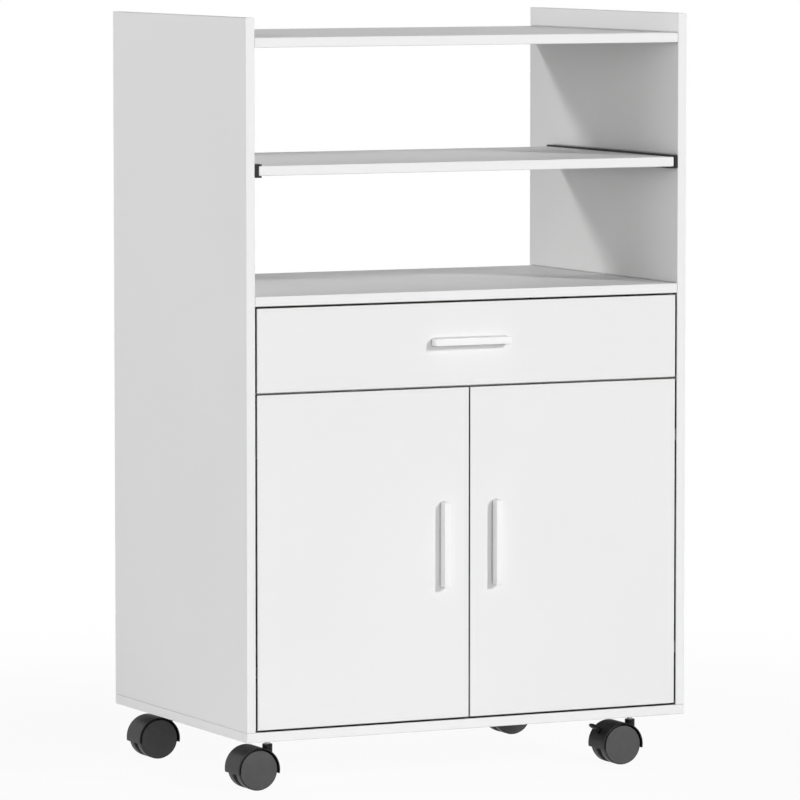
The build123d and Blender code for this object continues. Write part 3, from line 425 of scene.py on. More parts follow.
def two_sided_board():
    """Fibreboard that is coated white on the front and bare brown behind, with pressed fibres."""
    finish, tree, shader, coordinates = start_finish("white_backboard")
    low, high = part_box("back_panel")
    middle = (low.y + high.y) / 2
    place = tree.nodes.new("ShaderNodeSeparateXYZ")
    link(tree, coordinates.outputs["Object"], place.inputs[0])
    behind = between(tree, place.outputs["Y"], 0, 1, middle, middle + COAT_THICKNESS)
    fibres = grain(tree, coordinates, FIBRES_PER_METRE, FIBRE_DETAIL, FIBRE_STRETCH)
    tone = between(tree, fibres, 0, 1)
    brown = blend(tree, tone, BARE_BROWN, BARE_BROWN_SHADE)
    white = blend(tree, tone, BACK_WHITE, BACK_WHITE_SHADE)
    link(tree, blend(tree, behind, white, brown), shader.inputs["Base Color"])
    link(tree, between(tree, fibres, *FIBRE_ROUGHNESS), shader.inputs["Roughness"])
    relief(tree, shader, fibres, FIBRE_DEPTH)
    return finish


back_board = two_sided_board()
print(back_board.name)

# %% [markdown]
# ### The other finishes
#
# All the other surfaces are one kind of thing: two near tones in soft clouds, and a fine grain
# that also changes the roughness and stands a few hundredths of a millimetre proud at most.
# They could be nine separate trees, but what makes plastic, powder coat and zinc differ is only
# the size of that grain, its depth and how rough it is, and for the rails a grain that is
# stretched along the bar. On a caster wheel the tread round the grey disc is painted darker,
# as painted shade, so there the colour also asks which way the surface faces.

# %% Coated surfaces
# Painted shade: a caster wheel's tread is coloured darker than its disc, where the surface turns away
# from the Y axis.
SHADED_TREAD_FACING = 0.6
DISC_FACING = 0.9


def with_shaded_tread(tree, coordinates, disc, tread):
    """The disc colour of a wheel, and painted shade where its surface turns away from the Y axis."""
    on_disc = between(tree, facing(tree, coordinates, "Y"), 0, 1, SHADED_TREAD_FACING, DISC_FACING)
    return blend(tree, on_disc, tread, disc)


def coated(
    name, light, dark, roughness, cloud_size, grain_size, depth, metal=0.0, specular=0.5,
    stretch=(1, 1, 1), tread=None,
):
    """A finish in two near tones, with a fine grain that also roughens and embosses it."""
    finish, tree, shader, coordinates = start_finish(name, metal, specular)
    cloud = between(tree, grain(tree, coordinates, 1 / cloud_size, stretch=stretch), 0, 1)
    colour = blend(tree, cloud, light, dark)
    # Painted shade on a wheel's tread, where a tread colour is given.
    if tread:
        colour = with_shaded_tread(tree, coordinates, colour, tread)
    link(tree, shaded_gaps(tree, colour), shader.inputs["Base Color"])
    fine = grain(tree, coordinates, 1 / grain_size, FINE_DETAIL, stretch)
    link(tree, between(tree, fine, *roughness), shader.inputs["Roughness"])
    relief(tree, shader, fine, depth)
    return finish


def grey(value, blue=0.0):
    """A grey with a trace of blue."""
    return (value, value, value + blue)


coated_finishes = (
    coated(
        "handle_white", light=grey(0.93), dark=grey(0.915), roughness=(0.30, 0.40),
        cloud_size=30 * MM, grain_size=0.5 * MM, depth=0.008 * MM,
    ),
    coated(
        "rail_black", light=grey(0.012), dark=grey(0.02), roughness=(0.40, 0.52), specular=0.25,
        cloud_size=20 * MM, grain_size=0.4 * MM, depth=0.02 * MM, stretch=(1, 12, 1),
    ),
    coated(
        "steel", light=grey(0.62, 0.02), dark=grey(0.52, 0.025), roughness=(0.26, 0.42), metal=1.0,
        cloud_size=12 * MM, grain_size=0.6 * MM, depth=0.006 * MM,
    ),
    coated(
        "zinc", light=grey(0.50, 0.01), dark=grey(0.42), roughness=(0.38, 0.55), metal=1.0,
        cloud_size=6 * MM, grain_size=0.5 * MM, depth=0.03 * MM,
    ),
    coated(
        "runner_white", light=grey(0.80), dark=grey(0.78), roughness=(0.34, 0.46),
        cloud_size=20 * MM, grain_size=1.2 * MM, depth=0.03 * MM,
    ),
    coated(
        "roller_nylon", light=(0.76, 0.755, 0.72), dark=(0.72, 0.71, 0.67), roughness=(0.42, 0.55),
        cloud_size=5 * MM, grain_size=0.4 * MM, depth=0.01 * MM,
    ),
    coated(
        "catch_plastic", light=grey(0.80), dark=grey(0.78), roughness=(0.38, 0.50),
        cloud_size=10 * MM, grain_size=0.4 * MM, depth=0.012 * MM,
    ),
    coated(
        "caster_hood_plastic", light=grey(0.018, 0.001), dark=grey(0.024, 0.001),
        roughness=(0.34, 0.46), specular=0.2,
        cloud_size=12 * MM, grain_size=0.5 * MM, depth=0.02 * MM,
    ),
    # The wheel's tread colour below is painted shade, darker than its disc.
    coated(
        "caster_wheel_plastic", light=grey(0.056, 0.001), dark=grey(0.068, 0.001),
        roughness=(0.40, 0.54), specular=0.35, tread=grey(0.022),
        cloud_size=10 * MM, grain_size=0.4 * MM, depth=0.03 * MM,
    ),
)


def slot_of(material):
    """The slot a material belongs to: its name, without the number Blender adds to a repeat."""
    return material.name.split(".")[0]


finishes = {slot_of(finish): finish for finish in (back_board, *coated_finishes)}
print(list(finishes))

# %% [markdown]
# ### Finishes for the solids
#
# Each solid came with plain materials that carry the names of its finishes. They could be
# edited in place, but a new finish in the same slot leaves the solid itself untouched. A board
# takes the white finish for the axis along which it is thin.

# %% Finishes on the solids
def thin_axis(name):
    """The axis along which a board is thin."""
    low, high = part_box(name)
    return min(range(3), key=lambda axis: high[axis] - low[axis])


for name, node in frame["nodes"].items():
    for slot in node.material_slots:
        kind = slot_of(slot.material)
        if kind == "white_board":
            slot.material = board_finishes[thin_axis(name)]
        else:
            slot.material = finishes[kind]
print("finished nodes", len(frame["nodes"]))

# %% [markdown]
# ## Eased copies of the small moulded and pressed pieces
#
# A caster hood, a rail or a folded steel arm has no knife edges: the mould and the press leave
# small radii, and it is these that catch the light. The pieces could be modelled afresh, but
# the solids have the right shape already, so each is a copy of its solid. Its loose triangles
# are merged, the flat faces are joined, and then a bevel of a few tenths of a millimetre runs
# along every sharp edge. Weighted normals keep the flat faces flat between the rounded edges.

# %% Helpers for pieces
SHARP_EDGE = radians(32)
FLAT_ANGLE = radians(0.6)
MERGE_DISTANCE = 0.002 * MM
PRESSED_STEPS = 2
MOULDED_STEPS = 3


def merged(node):
    """The mesh of a CAD solid as closed shells, with its flat faces joined."""
    shells = bmesh.new()
    shells.from_mesh(node.data)
    bmesh.ops.remove_doubles(shells, verts=shells.verts, dist=MERGE_DISTANCE)
    bmesh.ops.dissolve_limit(
        shells, angle_limit=FLAT_ANGLE, verts=shells.verts, edges=shells.edges
    )
    return shells


def loose_object(name, shells):
    """An object at the origin made from a bmesh."""
    mesh = bpy.data.meshes.new(name)
    shells.to_mesh(mesh)
    shells.free()
    return bpy.data.objects.new(name, mesh)


def new_piece(name, shells, finish):
    """Such an object with one finish, in the scene."""
    piece = loose_object(name, shells)
    scene.collection.objects.link(piece)
    piece.data.materials.append(finish)
    return piece


def settle(piece):
    """Turns the modifiers of a piece into its mesh."""
    bpy.context.view_layer.update()
    shape = piece.evaluated_get(bpy.context.evaluated_depsgraph_get())
    mesh = bpy.data.meshes.new_from_object(shape)
    piece.modifiers.clear()
    piece.data = mesh


def stands_for(piece, body, node_name):
    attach(piece, body)
    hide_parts(node_name)
    return piece


def eased(node_name, body, slot_name, radius, steps=PRESSED_STEPS):
    """A CAD solid with rounded edges, in place of the solid."""
    piece = new_piece(f"{node_name}_eased", merged(frame["nodes"][node_name]), finishes[slot_name])
    for face in piece.data.polygons:
        face.use_smooth = True
    rounding = piece.modifiers.new("rounding", "BEVEL")
    rounding.limit_method = "ANGLE"
    rounding.angle_limit = SHARP_EDGE
    rounding.width = radius
    rounding.segments = steps
    flats = piece.modifiers.new("flats", "WEIGHTED_NORMAL")
    flats.keep_sharp = False
    settle(piece)
    return stands_for(piece, body, node_name)


print("edges sharper than", round(degrees(SHARP_EDGE)), "degrees are rounded")

# %% Eased copies
CORNERS = ("front_left", "front_right", "back_left", "back_right")
HOOD_RADIUS = 0.45 * MM

for corner in CORNERS:
    eased(
        f"{corner}_hood", f"{corner}_caster", "caster_hood_plastic", HOOD_RADIUS, MOULDED_STEPS
    )
eased("shelf_rails", "cabinet", "rail_black", radius=0.35 * MM)
eased("runner_tracks", "cabinet", "runner_white", radius=0.25 * MM)
eased("drawer_runners", "drawer", "runner_white", radius=0.25 * MM)
eased("hinge_arms", "cabinet", "steel", radius=0.25 * MM)
eased("left_hinge_cups", "left_door", "steel", radius=0.2 * MM)
eased("right_hinge_cups", "right_door", "steel", radius=0.2 * MM)
eased("door_catches", "cabinet", "catch_plastic", radius=0.5 * MM)
eased("caster_stems", "cabinet", "steel", radius=0.3 * MM)
eased("stem_inserts", "cabinet", "steel", radius=0.25 * MM)

# %% [markdown]
# ### The foot paddles of the brakes
#
# A brake lever is pressed down with the tip of a shoe, so it ends in a paddle without edges,
# fuller in the middle and thin at the rim, like a flat pebble. It could be sculpted or made
# from a subdivided box, but such a form has a rule: it is a sphere whose sections are
# flattened a little towards a rectangle. The helper starts with an icosphere, pushes every
# point out to that form, and turns it into line with the arm of the lever, which runs from
# the pivot of the joint to the middle of the arm's tip. The paddle ends a little past that tip.

# %% Brake levers
BRAKED = ("front_right", "back_right")
LEVER_RADIUS = 0.55 * MM
PADDLE_LENGTH = 13.0 * MM
PADDLE_WIDTH = 17.0 * MM
PADDLE_THICKNESS = 6.0 * MM
PADDLE_PAST_TIP = 5.0 * MM
PADDLE_SQUARENESS = 2.4
BALL_STEPS = 4
TIP_SHARE = 0.93


def limits(points):
    """Lowest and highest corner of some points."""
    low = Vector([min(point[axis] for point in points) for axis in range(3)])
    high = Vector([max(point[axis] for point in points) for axis in range(3)])
    return low, high


def tip_of(points, pivot):
    """How far an arm reaches from its pivot, and the direction of the middle of its tip."""
    arms = [Vector((point.x, pivot.y, point.z)) - pivot for point in points]
    reach = max(arm.length for arm in arms)
    low, high = limits([arm for arm in arms if arm.length > TIP_SHARE * reach])
    return reach, ((low + high) / 2).normalized()


def paddle(shells, tip, along):
    """Adds a flat pebble that ends just past the tip of a lever's arm."""
    across = Vector((0, 1, 0))
    upright = along.cross(across)
    centre = tip + along * (PADDLE_PAST_TIP - PADDLE_LENGTH / 2)
    ball = bmesh.ops.create_icosphere(shells, subdivisions=BALL_STEPS, radius=1)
    for vertex in ball["verts"]:
        power = sum(abs(value) ** PADDLE_SQUARENESS for value in vertex.co)
        x, y, z = vertex.co / power ** (1 / PADDLE_SQUARENESS)
        vertex.co = (
            centre
            + along * x * PADDLE_LENGTH / 2
            + across * y * PADDLE_WIDTH / 2
            + upright * z * PADDLE_THICKNESS / 2
        )
    faces = dict.fromkeys(face for vertex in ball["verts"] for face in vertex.link_faces)
    bmesh.ops.recalc_face_normals(shells, faces=list(faces))


def brake_lever(corner):
    """An eased lever with a paddle at the tip of its arm."""
    name = f"{corner}_brake_lever"
    lever = eased(name, name, "caster_hood_plastic", LEVER_RADIUS, MOULDED_STEPS)
    joint = next(joint for joint in frame["joints"] if joint["child"] == name)
    pivot = Vector(joint["pos_m"])
    reach, along = tip_of([vertex.co for vertex in lever.data.vertices], pivot)
    shells = bmesh.new()
    shells.from_mesh(lever.data)
    paddle(shells, pivot + along * reach, along)
    for face in shells.faces:
        face.smooth = True
    shells.to_mesh(lever.data)
    shells.free()
    print(lever.name, "reaches", round(reach / MM, 2), "mm along", [round(v, 3) for v in along])


for corner in BRAKED:
    brake_lever(corner)

# %% [markdown]
# ## Turned pieces: wheels and rollers
#
# Wheels and rollers are round about an axle, and their moulds are turned on a lathe. Bevelled
# cylinders could be joined for them, but each step and recess would need one more. Here one
# outline, given as pairs of radius and depth, is turned about the axle as on the lathe, and
# where a shoulder is round, points on an arc are added to it.

# %% Turning an outline
TURN_STEPS = 96
ARC_STEPS = 4
TURNED_CREASE = radians(40)


def shoulder(radius, depth, size, first, last, steps=ARC_STEPS):
    """Points on an arc of the size given, about the centre given by radius and depth."""
    angles = [first + (last - first) * step / steps for step in range(steps + 1)]
    return [(radius + size * cos(angle), depth + size * sin(angle)) for angle in angles]


def circle(shells, middle, side, up, radius, steps):
    """A ring of corners round a middle point, in the plane of side and up."""
    angles = [2 * pi * step / steps for step in range(steps)]
    return [shells.verts.new(middle + radius * (side * cos(a) + up * sin(a))) for a in angles]


def skin(shells, rings, closed=False):
    """Joins each ring of corners to the next one by faces. A ring may be a single point."""
    pairs = list(zip(rings, rings[1:]))
    if closed:
        pairs.append((rings[-1], rings[0]))
    for first, second in pairs:
        for step in range(max(len(first), len(second))):
            corners = [first[step % len(first)], first[(step + 1) % len(first)]]
            corners += [second[(step + 1) % len(second)], second[step % len(second)]]
            shells.faces.new(list(dict.fromkeys(corners)))


def turn(shells, outline, centre, axis, closed=False):
    """Adds an outline of (radius, depth) pairs, turned about an axis through the centre."""
    axis = Vector(axis).normalized()
    side = axis.orthogonal().normalized()
    up = axis.cross(side)
    rings = []
    for radius, depth in outline:
        middle = centre + axis * depth
        if radius == 0:
            rings.append([shells.verts.new(middle)])
        else:
            rings.append(circle(shells, middle, side, up, radius, TURN_STEPS))
    skin(shells, rings, closed)


def smooth_piece(name, shells, finish, crease=TURNED_CREASE):
    """A piece with outward faces, smooth except across its sharp edges."""
    bmesh.ops.recalc_face_normals(shells, faces=shells.faces)
    for face in shells.faces:
        face.smooth = True
    for edge in shells.edges:
        edge.smooth = len(edge.link_faces) == 2 and edge.calc_face_angle() < crease
    return new_piece(name, shells, finish)


print("turning with", TURN_STEPS, "steps")

# %% [markdown]
# ### Caster wheels
#
# A caster wheel is moulded in one piece. Its visible side is a slightly domed disc that stands
# proud of the tread by a narrow step, the tread has small round shoulders, and the hidden side
# is a deep recess round a hub, which saves material and keeps the walls even. All that is one
# outline here, from the middle of the disc over the tread and through the recess to the bore.
# The disc stays a plain dome, because the photograph shows no spokes on it.

# %% Caster wheels
DISC_EDGE = 24.2 * MM
DISC_ROUND = 0.25 * MM
DISC_THICKNESS = 3.8 * MM
DOME_DROP = 0.5 * MM
DOME_STEPS = 8
RIM_STEP = 2.4 * MM
TREAD_ROUND = 0.4 * MM
WALL_THICKNESS = 3.5 * MM
RECESS_DRAFT = 1.0 * MM
HUB_RADIUS = 7.6 * MM
HUB_CHAMFER = 0.4 * MM
BORE_RADIUS = 2.6 * MM
BORE_DEPTH = 0.9 * MM


def wheel_outline(radius, wide):
    """The outline of a wheel as (radius, depth) pairs, from its visible side inwards."""
    outline = [
        (
            (DISC_EDGE - DISC_ROUND) * step / DOME_STEPS,
            DOME_DROP * (step / DOME_STEPS) ** 2,
        )
        for step in range(DOME_STEPS + 1)
    ]
    rim = DOME_DROP + RIM_STEP
    tread = radius - TREAD_ROUND
    outline += [(DISC_EDGE, DOME_DROP + DISC_ROUND), (DISC_EDGE, rim)]
    outline += shoulder(tread, rim + TREAD_ROUND, TREAD_ROUND, -pi / 2, 0)
    outline += shoulder(tread, wide - TREAD_ROUND, TREAD_ROUND, 0, pi / 2)
    wall = radius - WALL_THICKNESS
    outline += [(wall, wide), (wall - RECESS_DRAFT / 2, wide - RECESS_DRAFT)]
    outline += [(wall - RECESS_DRAFT, DISC_THICKNESS), (HUB_RADIUS + RECESS_DRAFT, DISC_THICKNESS)]
    outline += [(HUB_RADIUS, wide - HUB_CHAMFER), (HUB_RADIUS - HUB_CHAMFER, wide)]
    outline += [(BORE_RADIUS, wide), (BORE_RADIUS, BORE_DEPTH), (0, BORE_DEPTH)]
    return outline


def caster_wheel(node_name, outwards):
    """One wheel; outwards is the sign of Y on its visible side."""
    low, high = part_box(node_name)
    face_y = low.y if outwards < 0 else high.y
    centre = Vector(((low.x + high.x) / 2, face_y, (low.z + high.z) / 2))
    outline = wheel_outline((high.z - low.z) / 2, high.y - low.y)
    shells = bmesh.new()
    turn(shells, outline, centre, (0, -outwards, 0))
    piece = smooth_piece(f"{node_name}_turned", shells, finishes["caster_wheel_plastic"])
    return stands_for(piece, node_name, node_name)


wheels = []
for corner in CORNERS:
    wheels.append(caster_wheel(f"{corner}_near_wheel", -1))
    wheels.append(caster_wheel(f"{corner}_far_wheel", 1))
print("wheels", len(wheels), "with", len(wheels[0].data.polygons), "faces each")

# %% [markdown]
# ### Runner rollers
#
# The drawer rolls on small nylon wheels with round rims and a shallow groove on each side. The
# two rollers of a pair lie on both sides of the drawer, so the solid of a pair has two parts.
# The parts could be told apart by where they are, but following the edges from corner to
# corner works for any node, and the screws need the same helper later.

# %% Runner rollers
ROLLER_ROUND = 0.9 * MM
ROLLER_GROOVE = 0.5 * MM
ROLLER_BORE = 2.06 * MM
GROOVE_FROM = 0.5
GROOVE_TO = 0.75


def parts_of(node):
    """The separate parts of a CAD node, each as a list of its corner points."""
    shells = merged(node)
    shells.verts.ensure_lookup_table()
    seen = set()
    parts = []
    for start in shells.verts:
        if start.index in seen:
            continue
        seen.add(start.index)
        waiting = [start]
        points = []
        while waiting:
            vertex = waiting.pop()
            points.append(vertex.co.copy())
            for edge in vertex.link_edges:
                other = edge.other_vert(vertex)
                if other.index not in seen:
                    seen.add(other.index)
                    waiting.append(other)
        parts.append(points)
    shells.free()
    return parts


def roller_outline(radius, wide):
    """The closed outline of a roller as (radius, depth) pairs, from its bore and round."""
    inner, outer = GROOVE_FROM * radius, GROOVE_TO * radius
    rim = radius - ROLLER_ROUND
    outline = [(ROLLER_BORE, 0), (inner, 0), (inner, ROLLER_GROOVE)]
    outline += [(outer, ROLLER_GROOVE), (outer, 0)]
    outline += shoulder(rim, ROLLER_ROUND, ROLLER_ROUND, -pi / 2, 0)
    outline += shoulder(rim, wide - ROLLER_ROUND, ROLLER_ROUND, 0, pi / 2)
    outline += [(outer, wide), (outer, wide - ROLLER_GROOVE)]
    outline += [(inner, wide - ROLLER_GROOVE), (inner, wide), (ROLLER_BORE, wide)]
    return outline


def runner_rollers(node_name):
    """Both nylon rollers of a pair, in one piece."""
    shells = bmesh.new()
    for points in parts_of(frame["nodes"][node_name]):
        low, high = limits(points)
        centre = Vector((low.x, (low.y + high.y) / 2, (low.z + high.z) / 2))
        outline = roller_outline((high.z - low.z) / 2, high.x - low.x)
        turn(shells, outline, centre, (1, 0, 0), closed=True)
    piece = smooth_piece(f"{node_name}_turned", shells, finishes["roller_nylon"])
    return stands_for(piece, node_name, node_name)


for node_name in ("track_rollers", "drawer_rollers"):
    pair = runner_rollers(node_name)
    print(pair.name, len(pair.data.polygons), "faces")

# %% [markdown]
# ## Handles
#
# The handles are solid bars of satin white plastic, screwed on from behind. A groove runs
# along each side, close behind the front, so that fingertips can hold them, and their front
# edges and ends are softly rounded. A box with bevels and cut grooves could be made, but the
# cuts leave a rough mesh at the ends. Here the section is drawn once as half an outline, from
# the back to the middle of the front, and swept along the bar. Towards both ends the section
# shrinks along a quarter circle, which rounds the ends.

# %% Handles
FRONT_ROUND = 0.5 * MM
HANDLE_LIP = 0.3 * MM
GROOVE_WIDTH = 3.2 * MM
GROOVE_DEPTH = 1.2 * MM
GROOVE_STEPS = 8
END_ROUND = 0.9 * MM
END_STEPS = 5
HANDLE_CREASE = radians(60)


def half_section(half_width, reach):
    """Half of a handle's section, as (distance from its middle line, distance from the board)."""
    groove_end = reach - HANDLE_LIP - FRONT_ROUND
    outline = [(half_width, 0), (half_width, groove_end - GROOVE_WIDTH)]
    for step in range(1, GROOVE_STEPS):
        share = step / GROOVE_STEPS
        hollow = GROOVE_DEPTH * sin(pi * share)
        outline.append((half_width - hollow, groove_end - GROOVE_WIDTH * (1 - share)))
    outline.append((half_width, groove_end))
    outline += shoulder(
        half_width - FRONT_ROUND, reach - FRONT_ROUND, FRONT_ROUND, 0, pi / 2, END_STEPS
    )
    return outline


def stations(length):
    """Places along a bar, from its middle, each with how much the section shrinks there."""
    angles = [pi / 2 * step / END_STEPS for step in range(END_STEPS + 1)]
    right = [(length / 2 - END_ROUND * (1 - sin(a)), END_ROUND * (1 - cos(a))) for a in angles]
    return [(-place, shrink) for place, shrink in reversed(right)] + right


def handle_bar(node_name, body):
    """A handle as a swept section with rounded ends."""
    low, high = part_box(node_name)
    size = high - low
    sideways, upwards = Vector((1, 0, 0)), Vector((0, 0, 1))
    along, across = (sideways, upwards) if size.x > size.z else (upwards, sideways)
    length, width = max(size.x, size.z), min(size.x, size.z)
    centre = Vector(((low.x + high.x) / 2, high.y, (low.z + high.z) / 2))
    half = half_section(width / 2, size.y)
    outline = half + [(-distance, reach) for distance, reach in reversed(half)]
    shells = bmesh.new()
    rings = []
    for place, shrink in stations(length):
        scale = 1 - 2 * shrink / width
        ring = []
        for distance, reach in outline:
            forward = min(reach, size.y - shrink)
            point = centre + along * place + across * distance * scale - Vector((0, forward, 0))
            ring.append(shells.verts.new(point))
        rings.append(ring)
    skin(shells, rings)
    shells.faces.new(rings[0])
    shells.faces.new(rings[-1])
    piece = smooth_piece(f"{node_name}_swept", shells, finishes["handle_white"], HANDLE_CREASE)
    return stands_for(piece, body, node_name)


for node_name, body in (
    ("drawer_handle", "drawer"),
    ("left_door_handle", "left_door"),
    ("right_door_handle", "right_door"),
):
    bar = handle_bar(node_name, body)
    print(bar.name, len(bar.data.polygons), "faces")

# %% [markdown]
# ## Fasteners
#
# Screws and cam fittings repeat many times. Each could be modelled in its place, but two heads
# and one shank are enough, and a node group places them. All have radius 1 and height 1, so
# that a scale turns them into any size. A head is a stack of rings with a rounded top. Its
# top is filled between the rim and a cross, and from the cross walls lead down to a smaller
# floor, as a punch presses them.

# %% Screw heads
HEAD_STEPS = 32
DOMED_STEPS = 4
CROSS_ARM = 0.52
CROSS_HALF = 0.1
CROSS_TAPER = 0.8


def stack(shells, profile):
    """Rings of (radius, height) pairs round the Z axis, closed below. Gives the top ring."""
    side, up = Vector((1, 0, 0)), Vector((0, 1, 0))
    rings = [
        circle(shells, Vector((0, 0, height)), side, up, radius, HEAD_STEPS)
        for radius, height in profile
    ]
    skin(shells, rings)
    shells.faces.new(rings[0][::-1])
    return rings[-1]


def cross_outline(scale, height):
    """The corners of a cross recess at a height, in order round its centre."""
    corners = []
    for quarter in range(4):
        turned = Matrix.Rotation(quarter * pi / 2, 3, "Z")
        for x, y in ((CROSS_ARM, -CROSS_HALF), (CROSS_ARM, CROSS_HALF), (CROSS_HALF, CROSS_HALF)):
            corners.append(turned @ Vector((x, y, 0)) * scale + Vector((0, 0, height)))
    return corners


def head_mesh(name, flat_radius, round_height, cross_depth):
    """A head of radius 1 and height 1 that stands on Z = 0, with a cross recess."""
    shells = bmesh.new()
    profile = [(1, 0), (1, 1 - round_height)]
    rise = 1 - flat_radius
    for step in range(1, DOMED_STEPS + 1):
        angle = pi / 2 * step / DOMED_STEPS
        profile.append(
            (flat_radius + rise * cos(angle), 1 - round_height + round_height * sin(angle))
        )
    rim = stack(shells, profile)
    mouth = [shells.verts.new(corner) for corner in cross_outline(1, 1)]
    bottom = [shells.verts.new(corner) for corner in cross_outline(CROSS_TAPER, 1 - cross_depth)]
    edges = [shells.edges.get(pair) for pair in zip(rim, rim[1:] + rim[:1])]
    for index, corner in enumerate(mouth):
        following = (index + 1) % len(mouth)
        shells.faces.new([corner, bottom[index], bottom[following], mouth[following]])
        edges.append(shells.edges.get((corner, mouth[following])))
    shells.faces.new(bottom)
    bmesh.ops.triangle_fill(shells, use_beauty=True, edges=edges)
    bmesh.ops.recalc_face_normals(shells, faces=shells.faces)
    return loose_object(name, shells)


pan_head = head_mesh("pan_head", flat_radius=0.62, round_height=0.75, cross_depth=0.45)
cam_face = head_mesh("cam_face", flat_radius=0.92, round_height=0.08, cross_depth=0.25)
print("heads with", len(pan_head.data.polygons), "and", len(cam_face.data.polygons), "faces")

# %% [markdown]
# A shank hangs from its head and tapers at the tip. Its thread could be modelled too, but the
# shanks are hidden in the boards, so a plain one is enough.

# %% Screw shank
TIP_RADIUS = 0.55
TIP_LENGTH = 0.15


def shank_mesh(name):
    """A shank of radius 1 that hangs from Z = 0 down to Z = -1, with a tapered tip."""
    shells = bmesh.new()
    top = stack(shells, [(TIP_RADIUS, -1), (1, TIP_LENGTH - 1), (1, 0)])
    shells.faces.new(top)
    return loose_object(name, shells)


shank = shank_mesh("shank")
print("shank with", len(shank.data.polygons), "faces")

# %% [markdown]
# ### A node group that places them
#
# The group instances the head and the shank on the same points. Copies made by a loop would
# do, but a group shows the rule at a glance and can be used again. Both shapes are turned so
# that their Z axis follows the point's direction, and each is scaled by its own attribute.
# The group ends with real geometry and one material, so the result is an ordinary mesh.

# %% Node group for fasteners
group = bpy.data.node_groups.new("fasteners", "GeometryNodeTree")
sockets = {}
for label, kind in (
    ("Points", "NodeSocketGeometry"),
    ("Head", "NodeSocketObject"),
    ("Shank", "NodeSocketObject"),
    ("Finish", "NodeSocketMaterial"),
):
    sockets[label] = group.interface.new_socket(label, in_out="INPUT", socket_type=kind)
group.interface.new_socket("Fasteners", in_out="OUTPUT", socket_type="NodeSocketGeometry")
taken = group.nodes.new("NodeGroupInput")
given = group.nodes.new("NodeGroupOutput")
joined = group.nodes.new("GeometryNodeJoinGeometry")


def point_value(name):
    """A vector that every point carries under this name."""
    value = group.nodes.new("GeometryNodeInputNamedAttribute")
    value.data_type = "FLOAT_VECTOR"
    value.inputs["Name"].default_value = name
    return value.outputs["Attribute"]


aim = group.nodes.new("FunctionNodeAlignRotationToVector")
aim.axis = "Z"
link(group, point_value("aim"), aim.inputs["Vector"])
for label, size_name in (("Head", "head_size"), ("Shank", "shank_size")):
    shape = group.nodes.new("GeometryNodeObjectInfo")
    link(group, taken.outputs[label], shape.inputs["Object"])
    placed = group.nodes.new("GeometryNodeInstanceOnPoints")
    link(group, taken.outputs["Points"], placed.inputs["Points"])
    link(group, shape.outputs["Geometry"], placed.inputs["Instance"])
    link(group, aim.outputs[0], placed.inputs["Rotation"])
    link(group, point_value(size_name), placed.inputs["Scale"])
    link(group, placed.outputs[0], joined.inputs[0])
real = group.nodes.new("GeometryNodeRealizeInstances")
link(group, joined.outputs[0], real.inputs[0])
painted = group.nodes.new("GeometryNodeSetMaterial")
link(group, real.outputs[0], painted.inputs["Geometry"])
link(group, taken.outputs["Finish"], painted.inputs["Material"])
link(group, painted.outputs[0], given.inputs[0])
print("group inputs", list(sockets))

# %% [markdown]
# ### Reading the fasteners from the solids
#
# The points for the group could be typed in as a list. They are read from the solids instead,
# so they follow when the cabinet's screws change. Each fastener is a part of its own. A screw
# is long, its long side is its axis, and its head is at the end where it is wider. A cam is
# stubby, its axis is the side that differs from the other two, and its face looks towards
# the middle of the cabinet's front.

# %% Reading a fastener
END_SLICE = 0.12 * MM
NO_LENGTH = 0.01 * MM
LEVEL_DIGITS = 5
lowest, highest = cad_box
FRONT_MIDDLE = Vector((0, lowest.y, (lowest.z + highest.z) / 2))


def fastener_axis(size, stubby):
    """The long side of a screw, or the side of a cam that differs most from the other two."""
    if not stubby:
        return max(range(3), key=lambda axis: size[axis])
    short, middle, long = sorted(range(3), key=lambda axis: size[axis])
    flat = abs(size[long] - size[middle]) < abs(size[middle] - size[short])
    return short if flat else long


def end_radii(points, middle, axis, levels):
    """The widest reach from the axis at each end of a fastener, by the sign of the end."""
    radii = {}
    for sign, level in levels.items():
        near = [point for point in points if abs(point[axis] - level) < END_SLICE]
        radii[sign] = max(
            abs(point[other] - middle[other]) for point in near for other in range(3) if other != axis
        )
    return radii


def head_height(points, axis, top, length):
    """From the top of a screw to the next level below it, or all of it where it has no head."""
    levels = {round(point[axis], LEVEL_DIGITS) for point in points}
    nearest = sorted(levels, key=lambda level: abs(level - top))
    return abs(nearest[1] - nearest[0]) if len(nearest) > 2 else length


def fastener(points):
    """The kind of a fastener, and the four values that its point carries."""
    low, high = limits(points)
    size = high - low
    middle = (low + high) / 2
    stubby = max(size) < 2 * min(size)
    axis = fastener_axis(size, stubby)
    levels = {1: high[axis], -1: low[axis]}
    radii = end_radii(points, middle, axis, levels)
    if stubby or radii[1] == radii[-1]:
        sign = 1 if FRONT_MIDDLE[axis] > middle[axis] else -1
    else:
        sign = 1 if radii[1] > radii[-1] else -1
    direction = Vector((0, 0, 0))
    direction[axis] = sign
    length = size[axis]
    height = length if stubby else head_height(points, axis, levels[sign], length)
    seat = middle.copy()
    seat[axis] = levels[sign] - sign * height
    return "cam" if stubby else "pan", {
        "seat": seat,
        "aim": direction,
        "head_size": (radii[sign], radii[sign], height),
        "shank_size": (radii[-sign], radii[-sign], max(length - height, NO_LENGTH)),
    }


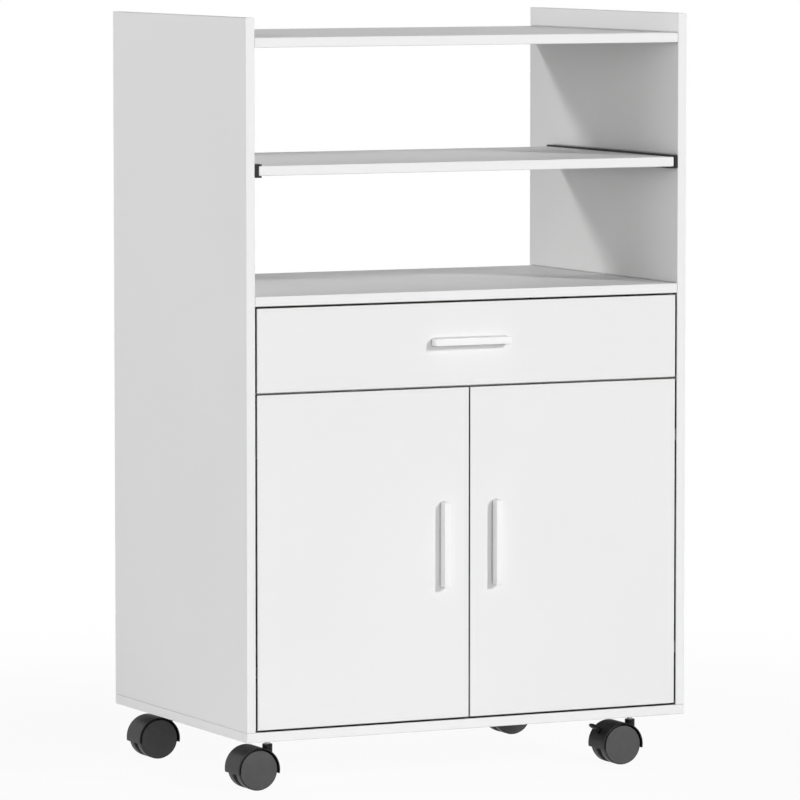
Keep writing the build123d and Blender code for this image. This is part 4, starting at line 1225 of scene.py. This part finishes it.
print("ends are measured over", round(END_SLICE / MM, 2), "mm")

# %% [markdown]
# ### One mesh for each node
#
# The fasteners of a node ride on one body and could be many pieces, but the solid they stand
# for is one, so they become one as well. Its points get the values that were read, the group
# turns them into screws, and where a node holds both screws and cams, the two meshes are
# joined.

# %% Fasteners of each node
def placed_fasteners(name, rows, head, finish):
    """Fasteners of one kind, placed by the node group."""
    mesh = bpy.data.meshes.new(name)
    mesh.from_pydata([row["seat"] for row in rows], [], [])
    for label in ("aim", "head_size", "shank_size"):
        values = mesh.attributes.new(label, "FLOAT_VECTOR", "POINT")
        values.data.foreach_set("vector", [value for row in rows for value in row[label]])
    piece = bpy.data.objects.new(name, mesh)
    scene.collection.objects.link(piece)
    placing = piece.modifiers.new("placing", "NODES")
    placing.node_group = group
    placing[sockets["Head"].identifier] = head
    placing[sockets["Shank"].identifier] = shank
    placing[sockets["Finish"].identifier] = finish
    settle(piece)
    return piece


def absorb(piece, extra):
    """Adds the mesh of an extra piece to a piece and removes the extra one."""
    both = bmesh.new()
    both.from_mesh(piece.data)
    both.from_mesh(extra.data)
    both.to_mesh(piece.data)
    both.free()
    bpy.data.objects.remove(extra)


def fasteners(node_name, body, slot_name):
    """One mesh with every fastener of a node."""
    rows = {"pan": [], "cam": []}
    for points in parts_of(frame["nodes"][node_name]):
        kind, row = fastener(points)
        rows[kind].append(row)
    made = [
        placed_fasteners(f"{node_name}_{kind}", rows[kind], head, finishes[slot_name])
        for kind, head in (("pan", pan_head), ("cam", cam_face))
        if rows[kind]
    ]
    piece = made[0]
    for extra in made[1:]:
        absorb(piece, extra)
    piece.name = f"{node_name}_detailed"
    return stands_for(piece, body, node_name)


for node_name, body, slot_name in (
    ("cabinet_screws", "cabinet", "steel"),
    ("left_door_screws", "left_door", "steel"),
    ("right_door_screws", "right_door", "steel"),
    ("drawer_fixings", "drawer", "zinc"),
    ("cam_locks", "cabinet", "zinc"),
):
    piece = fasteners(node_name, body, slot_name)
    print(piece.name, len(piece.data.polygons), "faces")
